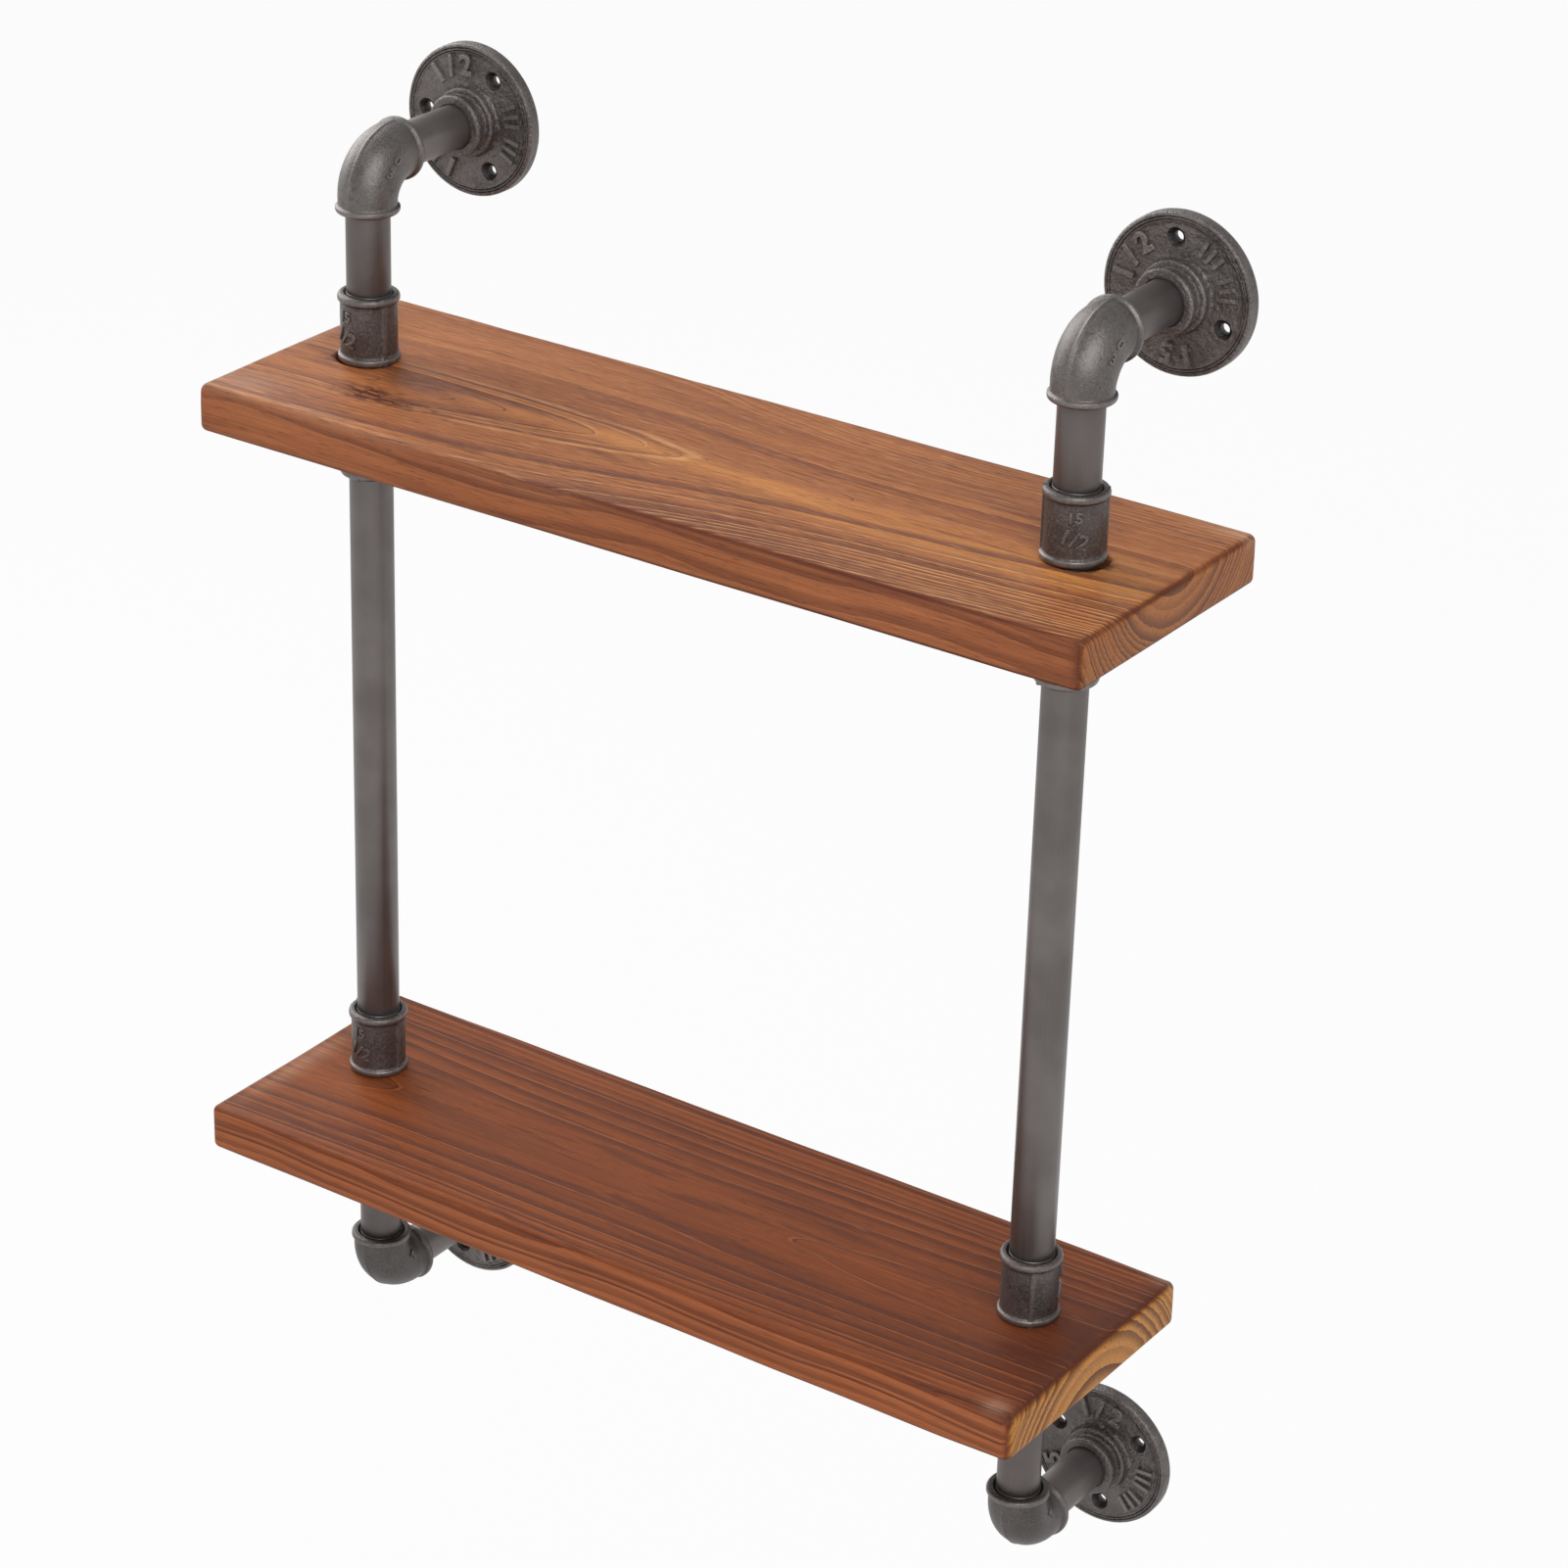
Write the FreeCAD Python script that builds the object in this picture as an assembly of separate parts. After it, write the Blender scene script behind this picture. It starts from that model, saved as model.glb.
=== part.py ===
import FreeCAD, Part
import math
import os

# Wall-hung pipe shelf: two boards carried on two uprights of threaded half-inch pipe.
# Millimetres, +Z up. The wall is the plane y = 0 and the shelf stands out from it along -Y.
# The origin lies on the wall, midway between the four flanges.

# Pipe, the same half-inch pipe everywhere
pipe_radius = 10.65
pipe_wall = 2.6
pipe_end_chamfer = 0.8
short_nipple_length = 64.5
main_pipe_length = 318.0

# Screwed joints between pipe and fittings
thread_engagement = 12.5
thread_clearance = 0.1
socket_floor_gap = 0.5
mouth_flare = 1.5
mouth_flare_depth = 2.2

# Straight couplings that clamp the boards
coupling_wall = 3.15
coupling_end_gap = 9.0
coupling_bead_proud = 1.2
coupling_bead_width = 5.5
coupling_bead_round = 2.0
coupling_rib_width = 3.2
coupling_rib_proud = 0.5

# Elbows
elbow_wall = 3.4
elbow_throat_gap = 1.85
elbow_neck = 1.2
elbow_bead_proud = 1.3
elbow_bead_width = 4.6
elbow_bead_round = 1.8

# Wall flanges
flange_radius = 37.5
flange_edge_thickness = 6.6
flange_edge_round = 1.6
flange_rim_width = 4.4
flange_face_recess = 0.4
flange_end_gap = 6.5
hub_wall = 4.0
hub_bead_proud = 1.5
hub_bead_width = 4.4
hub_bead_round = 1.8
hub_foot = 2.2
bolt_circle_radius = 26.0
bolt_hole_radius = 2.75
bolt_sink_radius = 4.4
bolt_holes = 3

# Boards
board_depth = 150.0
board_thickness = 24.0
board_edge_round = 3.5
upper_board_length = 484.0
lower_board_shortfall = 10.0
pipe_inset = 41.5
board_hole_clearance = 0.35

# Where each board sits on the pipes, and how far its holes stand off the pipe lines
upper_board_shift_x = 4.0
upper_board_forward = 0.5
upper_hole_offset = 3.0
lower_board_shift_x = 0.5
lower_board_forward = 8.5
lower_hole_offset = 0.0

# Overrun of every cut past the face that it opens
overrun = 2.0

# Turn of each flange's first hole and of each coupling's ribs, in degrees
flange_turns = {"upper_left": 57.0, "upper_right": 95.0, "lower_left": 15.0, "lower_right": 35.0}
coupling_turns = {
    "upper_shelf_top_left": 71.0,
    "upper_shelf_top_right": 120.0,
    "upper_shelf_under_left": 10.0,
    "upper_shelf_under_right": 150.0,
    "lower_shelf_top_left": 85.0,
    "lower_shelf_top_right": 36.0,
    "lower_shelf_under_left": 55.0,
    "lower_shelf_under_right": 100.0,
}

# Sizes that follow from the ones above: the pipes stand in from the ends of the shorter board
lower_board_length = upper_board_length - lower_board_shortfall
pipe_spacing = lower_board_length - 2 * pipe_inset
pipe_bore = pipe_radius - pipe_wall
socket_radius = pipe_radius + thread_clearance
socket_depth = thread_engagement + socket_floor_gap
nipple_exposed = short_nipple_length - 2 * thread_engagement
coupling_length = 2 * thread_engagement + coupling_end_gap
coupling_radius = socket_radius + coupling_wall
elbow_radius = socket_radius + elbow_wall
elbow_reach = thread_engagement + pipe_radius + elbow_throat_gap
elbow_bend = elbow_reach - elbow_bead_width - elbow_neck
flange_height = thread_engagement + flange_end_gap
hub_radius = socket_radius + hub_wall
board_nipple_length = board_thickness + 2 * thread_engagement

# Places along the frame
pipe_line_y = -(flange_height + nipple_exposed + elbow_reach)
bay_height = main_pipe_length - 2 * thread_engagement + 2 * coupling_length
board_inner_z = bay_height / 2
board_outer_z = board_inner_z + board_thickness
elbow_mouth_z = board_outer_z + coupling_length + nipple_exposed
arm_z = elbow_mouth_z + elbow_reach

ORIGIN = FreeCAD.Vector(0, 0, 0)
X_AXIS = FreeCAD.Vector(1, 0, 0)
Y_AXIS = FreeCAD.Vector(0, 1, 0)
Z_AXIS = FreeCAD.Vector(0, 0, 1)
HALF_TURN = 180.0
QUARTER_TURN = 90.0


def rod(radius, length, start=0):
    """Solid round bar along +Z from the height start."""
    return Part.makeCylinder(radius, length, FreeCAD.Vector(0, 0, start))


def cone(low_radius, high_radius, low, high):
    """Solid cone along +Z between two heights."""
    return Part.makeCone(low_radius, high_radius, high - low, FreeCAD.Vector(0, 0, low))


def turned(outline):
    """Solid of revolution about Z. A step is (r, z), or (via_r, via_z, r, z) for an arc."""
    edges = []
    here = FreeCAD.Vector(outline[0][0], 0, outline[0][1])
    for step in outline[1:] + [outline[0]]:
        there = FreeCAD.Vector(step[-2], 0, step[-1])
        if len(step) == 4:
            via = FreeCAD.Vector(step[0], 0, step[1])
            edges.append(Part.Arc(here, via, there).toShape())
        else:
            edges.append(Part.makeLine(here, there))
        here = there
    return Part.Face(Part.Wire(edges)).revolve(ORIGIN, Z_AXIS, 2 * HALF_TURN)


def rounded_corner(radius, height, round_radius):
    """Arc step of an outer corner, from the end face up on to the side at the given radius."""
    inset = round_radius * (1 - math.cos(math.radians(QUARTER_TURN / 2)))
    return (radius - inset, height + inset, radius, height + round_radius)


def end_bead(body_radius, proud, width, round_radius):
    """Rounded bead round a mouth that opens at z = 0, on a body that goes up from it."""
    crest = body_radius + proud
    outline = [(0, 0), (crest - round_radius, 0), rounded_corner(crest, 0, round_radius)]
    outline += [(crest, width - proud), (body_radius, width), (0, width)]
    return turned(outline)


def mouth_cut(depth):
    """Space of a socket that opens at z = 0 with a flared mouth."""
    bore = rod(socket_radius, depth + overrun, -overrun)
    flare = cone(socket_radius + mouth_flare, socket_radius, 0, mouth_flare_depth)
    return bore.fuse(flare)


def placed(shape, place, axis=Z_AXIS, angle=0):
    """The shape turned about an axis through the origin and then moved."""
    result = shape.copy()
    result.Placement = FreeCAD.Placement(place, FreeCAD.Rotation(axis, angle))
    return result


def pipe(length):
    """Hollow pipe along +Z from z = 0, with chamfered ends."""
    outline = [(pipe_bore, 0), (pipe_radius - pipe_end_chamfer, 0), (pipe_radius, pipe_end_chamfer)]
    outline += [(pipe_radius, length - pipe_end_chamfer), (pipe_radius - pipe_end_chamfer, length)]
    outline += [(pipe_bore, length)]
    return turned(outline)


def coupling(rib_turn):
    """Straight coupling along +Z from z = 0: a bead at each mouth and two casting ribs."""
    bead = end_bead(coupling_radius, coupling_bead_proud, coupling_bead_width, coupling_bead_round)
    top_bead = placed(bead, FreeCAD.Vector(0, 0, coupling_length), X_AXIS, HALF_TURN)
    rib_span = 2 * (coupling_radius + coupling_rib_proud)
    rib_corner = FreeCAD.Vector(-rib_span / 2, -coupling_rib_width / 2, coupling_bead_width / 2)
    rib_height = coupling_length - coupling_bead_width
    ribs = Part.makeBox(rib_span, coupling_rib_width, rib_height, rib_corner)
    body = rod(coupling_radius, coupling_length).multiFuse([bead, top_bead, ribs])
    bottom_cut = mouth_cut(coupling_length / 2)
    top_cut = placed(bottom_cut, FreeCAD.Vector(0, 0, coupling_length), X_AXIS, HALF_TURN)
    body = body.cut(bottom_cut).cut(top_cut)
    return placed(body.removeSplitter(), ORIGIN, Z_AXIS, rib_turn - QUARTER_TURN)


def bend(radius):
    """Quarter bend of round section that joins the ends of the two elbow legs."""
    centre = FreeCAD.Vector(0, 0, -elbow_bend)
    section = Part.Face(Part.Wire(Part.Circle(centre, Z_AXIS, radius).toShape()))
    pivot = FreeCAD.Vector(0, elbow_bend, -elbow_bend)
    return section.revolve(pivot, -X_AXIS, QUARTER_TURN)


def elbow():
    """Elbow with its corner at the origin and its mouths facing -Z and +Y."""
    bead = end_bead(elbow_radius, elbow_bead_proud, elbow_bead_width, elbow_bead_round)
    leg = rod(elbow_radius, elbow_reach - elbow_bend).fuse(bead)
    cut = mouth_cut(socket_depth)
    low_mouth = FreeCAD.Vector(0, 0, -elbow_reach)
    rear_mouth = FreeCAD.Vector(0, elbow_reach, 0)
    legs = [placed(leg, low_mouth), placed(leg, rear_mouth, X_AXIS, QUARTER_TURN)]
    body = bend(elbow_radius).multiFuse(legs)
    cuts = [placed(cut, low_mouth), placed(cut, rear_mouth, X_AXIS, QUARTER_TURN), bend(pipe_bore)]
    for space in cuts:
        body = body.cut(space)
    return body.removeSplitter()


def flange(first_hole_turn):
    """Wall flange on the plane y = 0 with its hub towards -Y."""
    face = flange_edge_thickness - flange_face_recess
    rim_inner = flange_radius - flange_rim_width
    neck_end = flange_height - hub_bead_width
    foot_radius = hub_radius + hub_foot
    foot_bend = 1 - math.sin(math.radians(QUARTER_TURN / 2))
    foot_rise = neck_end - face
    corner = flange_edge_round * (1 - math.cos(math.radians(QUARTER_TURN / 2)))
    outline = [(0, 0), (flange_radius, 0), (flange_radius, flange_edge_thickness - flange_edge_round)]
    outline += [(flange_radius - corner, flange_edge_thickness - corner,
                 flange_radius - flange_edge_round, flange_edge_thickness)]
    outline += [(rim_inner, flange_edge_thickness), (rim_inner - flange_face_recess, face)]
    outline += [(foot_radius, face)]
    outline += [(hub_radius + hub_foot * foot_bend, face + foot_rise * foot_bend, hub_radius, neck_end)]
    outline += [(0, neck_end)]
    bead = end_bead(hub_radius, hub_bead_proud, hub_bead_width, hub_bead_round)
    bead = placed(bead, FreeCAD.Vector(0, 0, flange_height), X_AXIS, HALF_TURN)
    body = turned(outline).fuse(bead)
    mouth = placed(mouth_cut(flange_height + overrun), FreeCAD.Vector(0, 0, flange_height), X_AXIS, HALF_TURN)
    body = body.cut(mouth)
    sink_depth = bolt_sink_radius - bolt_hole_radius
    screw_cut = rod(bolt_hole_radius, flange_edge_thickness + 2 * overrun, -overrun)
    screw_cut = screw_cut.fuse(cone(bolt_hole_radius, bolt_sink_radius, face - sink_depth, face))
    screw_cut = screw_cut.fuse(rod(bolt_sink_radius, overrun, face))
    for index in range(bolt_holes):
        turn = math.radians(first_hole_turn + index * 2 * HALF_TURN / bolt_holes)
        spot = FreeCAD.Vector(bolt_circle_radius * math.cos(turn), bolt_circle_radius * math.sin(turn), 0)
        body = body.cut(placed(screw_cut, spot))
    return placed(body.removeSplitter(), ORIGIN, X_AXIS, QUARTER_TURN)


def board(length, low_z, shift_x, forward, hole_offset):
    """Shelf board with rounded edges and a hole for each upright."""
    corner = FreeCAD.Vector(shift_x - length / 2, pipe_line_y - forward - board_depth / 2, low_z)
    body = Part.makeBox(length, board_depth, board_thickness, corner)
    body = body.makeFillet(board_edge_round, body.Edges)
    hole_radius = pipe_radius + board_hole_clearance + hole_offset
    for side in (-1, 1):
        spot = FreeCAD.Vector(side * (pipe_spacing / 2 + hole_offset), pipe_line_y, low_z - overrun)
        body = body.cut(Part.makeCylinder(hole_radius, board_thickness + 2 * overrun, spot))
    return body


def arm(level, side_name, x):
    """Flange, wall nipple, elbow and drop nipple of one corner; level is 1 for upper, -1 for lower."""
    prefix = "upper" if level > 0 else "lower"
    height = level * arm_z
    turn = 0 if level > 0 else HALF_TURN
    elbow_end_y = pipe_line_y + elbow_reach
    drop_end_z = elbow_mouth_z + thread_engagement
    drop_low_z = drop_end_z - short_nipple_length if level > 0 else -drop_end_z
    wall_nipple_place = FreeCAD.Vector(x, elbow_end_y - thread_engagement, height)
    pieces = {}
    pieces["flange"] = placed_flange(prefix, side_name, FreeCAD.Vector(x, 0, height))
    pieces["wall_nipple"] = placed(pipe(short_nipple_length), wall_nipple_place, X_AXIS, -QUARTER_TURN)
    pieces["elbow"] = placed(elbow(), FreeCAD.Vector(x, pipe_line_y, height), Y_AXIS, turn)
    pieces["drop_nipple"] = placed(pipe(short_nipple_length), FreeCAD.Vector(x, pipe_line_y, drop_low_z))
    return {prefix + "_" + name + "_" + side_name: shape for name, shape in pieces.items()}


def placed_flange(prefix, side_name, place):
    """Flange of one corner, turned as its holes are turned there."""
    shape = flange(flange_turns[prefix + "_" + side_name])
    shape.translate(place)
    return shape


def board_clamp(prefix, side_name, x, board_low_z):
    """Coupling above, nipple through and coupling below one board on one upright."""
    board_top_z = board_low_z + board_thickness
    places = {"top": board_top_z, "under": board_low_z - coupling_length}
    pieces = {}
    for level, low_z in places.items():
        name = prefix + "_shelf_" + level
        shape = coupling(coupling_turns[name + "_" + side_name])
        shape.translate(FreeCAD.Vector(x, pipe_line_y, low_z))
        pieces[name + "_coupling_" + side_name] = shape
    nipple_place = FreeCAD.Vector(x, pipe_line_y, board_low_z - thread_engagement)
    pieces[prefix + "_shelf_nipple_" + side_name] = placed(pipe(board_nipple_length), nipple_place)
    return pieces


def upright(side_name, side):
    """All the metal of one side, from the upper flange to the lower one."""
    x = side * pipe_spacing / 2
    pieces = arm(1, side_name, x)
    pieces.update(board_clamp("upper", side_name, x, board_inner_z))
    main_place = FreeCAD.Vector(x, pipe_line_y, -main_pipe_length / 2)
    pieces["main_pipe_" + side_name] = placed(pipe(main_pipe_length), main_place)
    pieces.update(board_clamp("lower", side_name, x, -board_outer_z))
    pieces.update(arm(-1, side_name, x))
    return pieces


def shelf():
    """Every piece of the shelf by name."""
    pieces = {}
    pieces["upper_shelf"] = board(upper_board_length, board_inner_z, upper_board_shift_x,
                                  upper_board_forward, upper_hole_offset)
    pieces["lower_shelf"] = board(lower_board_length, -board_outer_z, lower_board_shift_x,
                                  lower_board_forward, lower_hole_offset)
    pieces.update(upright("left", -1))
    pieces.update(upright("right", 1))
    return pieces


os.makedirs("parts", exist_ok=True)
for node, solid in shelf().items():
    solid.exportStep("parts/" + node + ".step")
    print(node, solid.isValid(), len(solid.Solids), round(solid.Volume, 1))
print("wall to pipe line", -pipe_line_y, "flange axes apart", 2 * arm_z, "bay height", bay_height)
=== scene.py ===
import bisect
import math
import random

import bmesh
import bpy
from mathutils import Matrix, Vector, noise


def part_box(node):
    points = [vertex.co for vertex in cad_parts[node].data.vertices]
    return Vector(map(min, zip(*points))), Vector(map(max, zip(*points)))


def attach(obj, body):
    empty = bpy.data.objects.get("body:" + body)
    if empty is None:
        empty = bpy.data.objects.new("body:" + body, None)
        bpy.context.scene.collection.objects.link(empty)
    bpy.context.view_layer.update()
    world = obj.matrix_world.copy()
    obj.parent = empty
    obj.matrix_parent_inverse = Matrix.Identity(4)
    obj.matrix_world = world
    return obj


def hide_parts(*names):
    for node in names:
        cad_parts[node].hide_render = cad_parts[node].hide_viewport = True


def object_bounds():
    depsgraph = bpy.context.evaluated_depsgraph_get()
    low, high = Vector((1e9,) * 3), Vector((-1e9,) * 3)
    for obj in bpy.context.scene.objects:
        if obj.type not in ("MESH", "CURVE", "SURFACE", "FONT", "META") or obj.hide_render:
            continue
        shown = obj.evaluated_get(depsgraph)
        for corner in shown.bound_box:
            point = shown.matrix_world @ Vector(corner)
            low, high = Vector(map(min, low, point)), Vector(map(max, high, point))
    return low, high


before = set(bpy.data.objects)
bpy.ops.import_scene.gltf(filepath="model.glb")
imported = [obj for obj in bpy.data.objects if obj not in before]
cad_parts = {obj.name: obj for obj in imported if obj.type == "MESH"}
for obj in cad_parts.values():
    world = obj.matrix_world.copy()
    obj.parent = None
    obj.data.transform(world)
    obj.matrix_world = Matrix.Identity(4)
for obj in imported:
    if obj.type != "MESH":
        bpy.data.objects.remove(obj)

# Wall-hung pipe shelf: two stained boards on two uprights of threaded pipe.
# Metres, +Z up, the wall is the plane y = 0 and the shelf stands out from it along -Y.

cad_low, cad_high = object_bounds()

MM = 0.001
FULL_TURN = 2 * math.pi
QUARTER_TURN = math.pi / 2


def extent(node):
    """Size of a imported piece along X, Y and Z."""
    low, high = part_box(node)
    return high - low


def middle(node):
    """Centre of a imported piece's box."""
    low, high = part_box(node)
    return (low + high) / 2


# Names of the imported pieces
SIDES = ("left", "right")
LEVELS = ("upper", "lower")
BOARDS = ("upper_shelf", "lower_shelf")
FLANGES = [f"{level}_flange_{side}" for level in LEVELS for side in SIDES]
ELBOWS = [f"{level}_elbow_{side}" for level in LEVELS for side in SIDES]
COUPLINGS = [f"{level}_shelf_{end}_coupling_{side}"
             for level in LEVELS for end in ("top", "under") for side in SIDES]
ARM_PIPES = [f"{level}_wall_nipple_{side}" for level in LEVELS for side in SIDES]
UPRIGHT_PIPES = [f"{level}_{kind}_nipple_{side}"
                 for level in LEVELS for kind in ("drop", "shelf") for side in SIDES]
UPRIGHT_PIPES += [f"main_pipe_{side}" for side in SIDES]

# Pipe and sockets
pipe_radius = extent("main_pipe_left").x / 2
pipe_wall = 2.6 * MM
pipe_chamfer = 0.8 * MM
thread_pitch = 1.1 * MM
thread_height = 0.34 * MM
thread_turns = 1.6
thread_hidden = 1.7 * MM
thread_fade_share = 0.2
thread_steps = 72
thread_sides = 6
pipe_sides = 96
pipe_sharp_angle = 25
thread_engagement = 12.5 * MM
socket_radius = pipe_radius + 0.1 * MM
socket_depth = 13.0 * MM
mouth_flare = 1.5 * MM
mouth_flare_depth = 2.2 * MM
mouth_radius = socket_radius + mouth_flare

# Couplings
coupling_length = extent("upper_shelf_top_coupling_left").z
coupling_crest = extent("upper_shelf_top_coupling_left").x / 2
coupling_bead_proud = 1.2 * MM
coupling_bead_width = 4.6 * MM
coupling_bead_fall = 1.5 * MM
coupling_bead_round = 2.0 * MM
coupling_rib_width = 2.4 * MM
coupling_rib_proud = 0.8 * MM
coupling_shell_step = 0.25 * MM
coupling_mark_size = 10.0 * MM
coupling_mark_proud = 1.15 * MM
coupling_rib_foot = 0.5 * MM
coupling_rib_slope = 0.6 * MM
coupling_skin_start = 0.2 * MM
coupling_rub_zone = (0.4 * MM, 0.6 * MM)
# Rub on a coupling's beads, ribs and marks, less on its top bead: partly wear and partly painted highlight
coupling_rub_highlight = 0.6
coupling_top_rub_highlight = 0.3
coupling_sides = 132

# Raised marks of a coupling: text, share of the mark size, share of the height and lean in degrees
COUPLING_MARKS = (("1/2", 1.0, 0.4, -18), ("15", 0.7, 0.7, 0))

# Elbows
elbow_crest = extent("upper_elbow_left").x / 2
elbow_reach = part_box("upper_elbow_left")[1].y - middle("main_pipe_left").y
elbow_bead_proud = 1.3 * MM
elbow_bead_width = 4.2 * MM
elbow_bead_fall = 1.5 * MM
elbow_bead_round = 1.8 * MM
elbow_bend = 19.2 * MM
elbow_swell = 0.55 * MM
elbow_seam_width = 1.4 * MM
elbow_seam_proud = 0.4 * MM
elbow_mark_size = 7.0 * MM
elbow_mark_proud = 0.8 * MM
elbow_mark_tilt = -0.35
elbow_mark_seat_share = 0.8
# Rub on an elbow's figures and bead crests: partly wear and partly painted highlight
elbow_mark_rub_highlight = 0.3
elbow_rub_highlight = 0.35
elbow_rub_start = 1.2 * MM
elbow_rub_zone = (0.5 * MM, 0.6 * MM)
elbow_seam_crown_share = 0.5
elbow_seam_foot_share = 1.3
elbow_sides = 96
elbow_steps = 34
elbow_body = elbow_crest - elbow_bead_proud
elbow_leg = elbow_reach - elbow_bend
elbow_path = 2 * elbow_leg + elbow_bend * QUARTER_TURN
elbow_pivot = Vector((0, elbow_bend, -elbow_bend))

# Raised figures of an elbow: text, share of the bend and side
ELBOW_NUMBERS = (("3", 0.42, 1), ("0", 0.62, 1), ("7", 0.5, -1))

# Flanges
flange_radius = extent("upper_flange_left").x / 2
flange_height = extent("upper_flange_left").y
flange_edge = 6.6 * MM
flange_edge_round = 1.6 * MM
flange_rim_width = 4.4 * MM
flange_rim_lines = (2.2 * MM, 3.5 * MM)
flange_rim_groove = 0.65 * MM
flange_rim_line_half = 0.35 * MM
flange_rim_fall = 0.6 * MM
flange_back_break = 0.4 * MM
flange_face_recess = 0.4 * MM
flange_face = flange_edge - flange_face_recess
hub_radius = socket_radius + 4.0 * MM
hub_crest = hub_radius + 0.4 * MM
hub_mouth = socket_radius + 0.5 * MM
hub_bead_width = 4.4 * MM
hub_bead_round = 1.6 * MM
hub_neck = hub_radius - 1.0 * MM
hub_collar = 2.2 * MM
hub_collar_height = 5.0 * MM
hub_collar_round = 1.4 * MM
hub_collar_foot = 0.8 * MM
hub_collar_radius = hub_radius + hub_collar
hub_neck_fillet = 0.5 * MM
hub_neck_rise = 0.8 * MM
hub_bead_fall = 1.2 * MM
bolt_circle_radius = 26.0 * MM
bolt_hole_radius = 2.75 * MM
bolt_sink_radius = 4.4 * MM
bolt_sink_depth = 1.95 * MM
bolt_sink_break = 0.3 * MM
bolt_sink_spread = 0.5 * MM
bolt_hole_coat = 0.2 * MM
bolt_hole_sides = 40
bolt_holes = 3
cut_overrun = 2 * MM
flange_mark_circle = 26.8 * MM
flange_mark_size = 13.5 * MM
flange_mark_proud = 1.7 * MM
flange_bar_width = 2.0 * MM
flange_bar_length = 8.8 * MM
flange_bars = 3
flange_bar_sweep_share = 0.16
flange_bar_arc_steps = 48
flange_sides = 168
flange_face_steps = 18
flange_face_facing = -0.8
flange_sand_size = 1.7 * MM
flange_sand_depth = 0.3 * MM

# Plain raised figures and groups of bars on a flange, with their places in shares of its hole spacing
FLANGE_NUMBERS = (("2", 0.3), ("/", 0.46), ("1", 0.62), ("5", 1.4), ("1", 1.58))
FLANGE_BAR_SHARES = (2.27, 2.57)

# Rubbed places of a flange, partly wear and partly painted highlight: where they start and over what length
# they rise, and the painted shade in its screw holes
hub_rub_highlight = 0.5
hub_rub_start = 14.8 * MM
hub_rub_zone = (0.6 * MM, 0.7 * MM)
rim_rub_highlight = 0.12
rim_rub_start = 4 * MM
rim_rub_zone = (-2.2 * MM, 1.2 * MM)
mark_rub_highlight = 0.4
mark_rub_start = 0.4 * MM
mark_rub_gap = 5 * MM
# Painted shade in the screw holes: its margin beyond the countersink, and its gaps from the back and from
# the face
hole_shade_margin = 0.15 * MM
hole_shade_start = 0.5 * MM
hole_shade_end = 0.1 * MM

# Unevenness of a cast skin, as (size, depth), and weight of raised figures in shares of their size
CAST_WAVES = ((9 * MM, 0.10 * MM), (2.6 * MM, 0.07 * MM))
thin_figure_share = 0.008
bold_figure_share = 0.02
figure_bevel_share = 0.25
cast_sharp_angle = 50

# Turn of each flange's first hole, and of each coupling's ribs and size mark, in degrees and in the
# order of their names
FLANGE_TURNS = dict(zip(FLANGES, (57, 95, 15, 35)))
COUPLING_RIB_TURNS = dict(zip(COUPLINGS, (71, 120, 10, 150, 85, 36, 55, 100)))
COUPLING_MARK_TURNS = dict(zip(COUPLINGS, (-14, 30, 100, 240, -5, 126, 145, 10)))

# Boards
board_edge_round = 3.5 * MM
board_edge_wear = 0.7 * MM
board_edge_wave = 55 * MM
board_edge_zone = 9.0 * MM
board_edge_lines = 10
board_step_along = 5.0 * MM
board_step_across = 0.5 * MM
board_step_up = 1.1 * MM
board_hole_sides = 72
board_sharp_angle = 60
front_wear_length = 70 * MM
corner_wear_length = 40 * MM
end_wear_length = 60 * MM
left_wear_start = 260 * MM
left_wear_end = 60 * MM
hole_margin = 0.3 * MM
pipe_line_y = middle("main_pipe_left").y
BOARD_HOLES = {"upper_shelf": (14.0 * MM, 3.0 * MM), "lower_shelf": (11.0 * MM, 0.0)}

# Growth rings: spread of their widths, size of their waves along the board, back and up, and how the
# waves of the front and back faces run, in millimetres and shares
ring_width_shares = (0.45, 1.55)
fine_ring_widths = (1.0, 2.8)
RING_WAVES = ((0.7, (150, 24, 60)), (0.16, (30, 7, 20)))
flame_wave = (120, 24, 1)
flame_wave_place = 0.3
flame_ripple = (45, 1, 25)
flame_ripple_share = 0.3
slope_steps = (3.0, 0.5, 0.5)
least_steepness = 0.06

# How the boards' looks change along them, in millimetres from the left end or the front edge
lower_figure = 0.9
back_fade = (78, 112)
back_fade_share = 0.65
left_fade = (110, 20)
left_fade_share = 0.3
lower_edge = 0.6
upper_left_edge = 0.42
edge_rise = (150, 260)
# Strength of the painted highlight along the ring ridges, which also scales the ring figure of the planed
# faces
lower_highlight_strength = 0.8
upper_left_highlight_strength = 0.35
highlight_rise = (60, 190)
hole_wall_edge = 0.8

# How a board's faces are told apart by the way they face, and where its brushed relief runs out
planed_facing = 0.8
planed_zone = (0.7, 0.9)
end_grain_zone = (0.55, 0.9)
rounding_zone = (0.8, 0.985)
valley_zone = (0.3, 2.2)
end_flatness = 0.85
end_flat_zone = (0.1, 0.5)
cross_flat_zone = (0.06, 0.2)


# Node trees

def colour(red, green, blue):
    """Linear colour of a screen colour given from 0 to 255."""
    shares = (red / 255, green / 255, blue / 255)
    linear = [c / 12.92 if c <= 0.04045 else ((c + 0.055) / 1.055) ** 2.4 for c in shares]
    return (*linear, 1.0)


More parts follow.
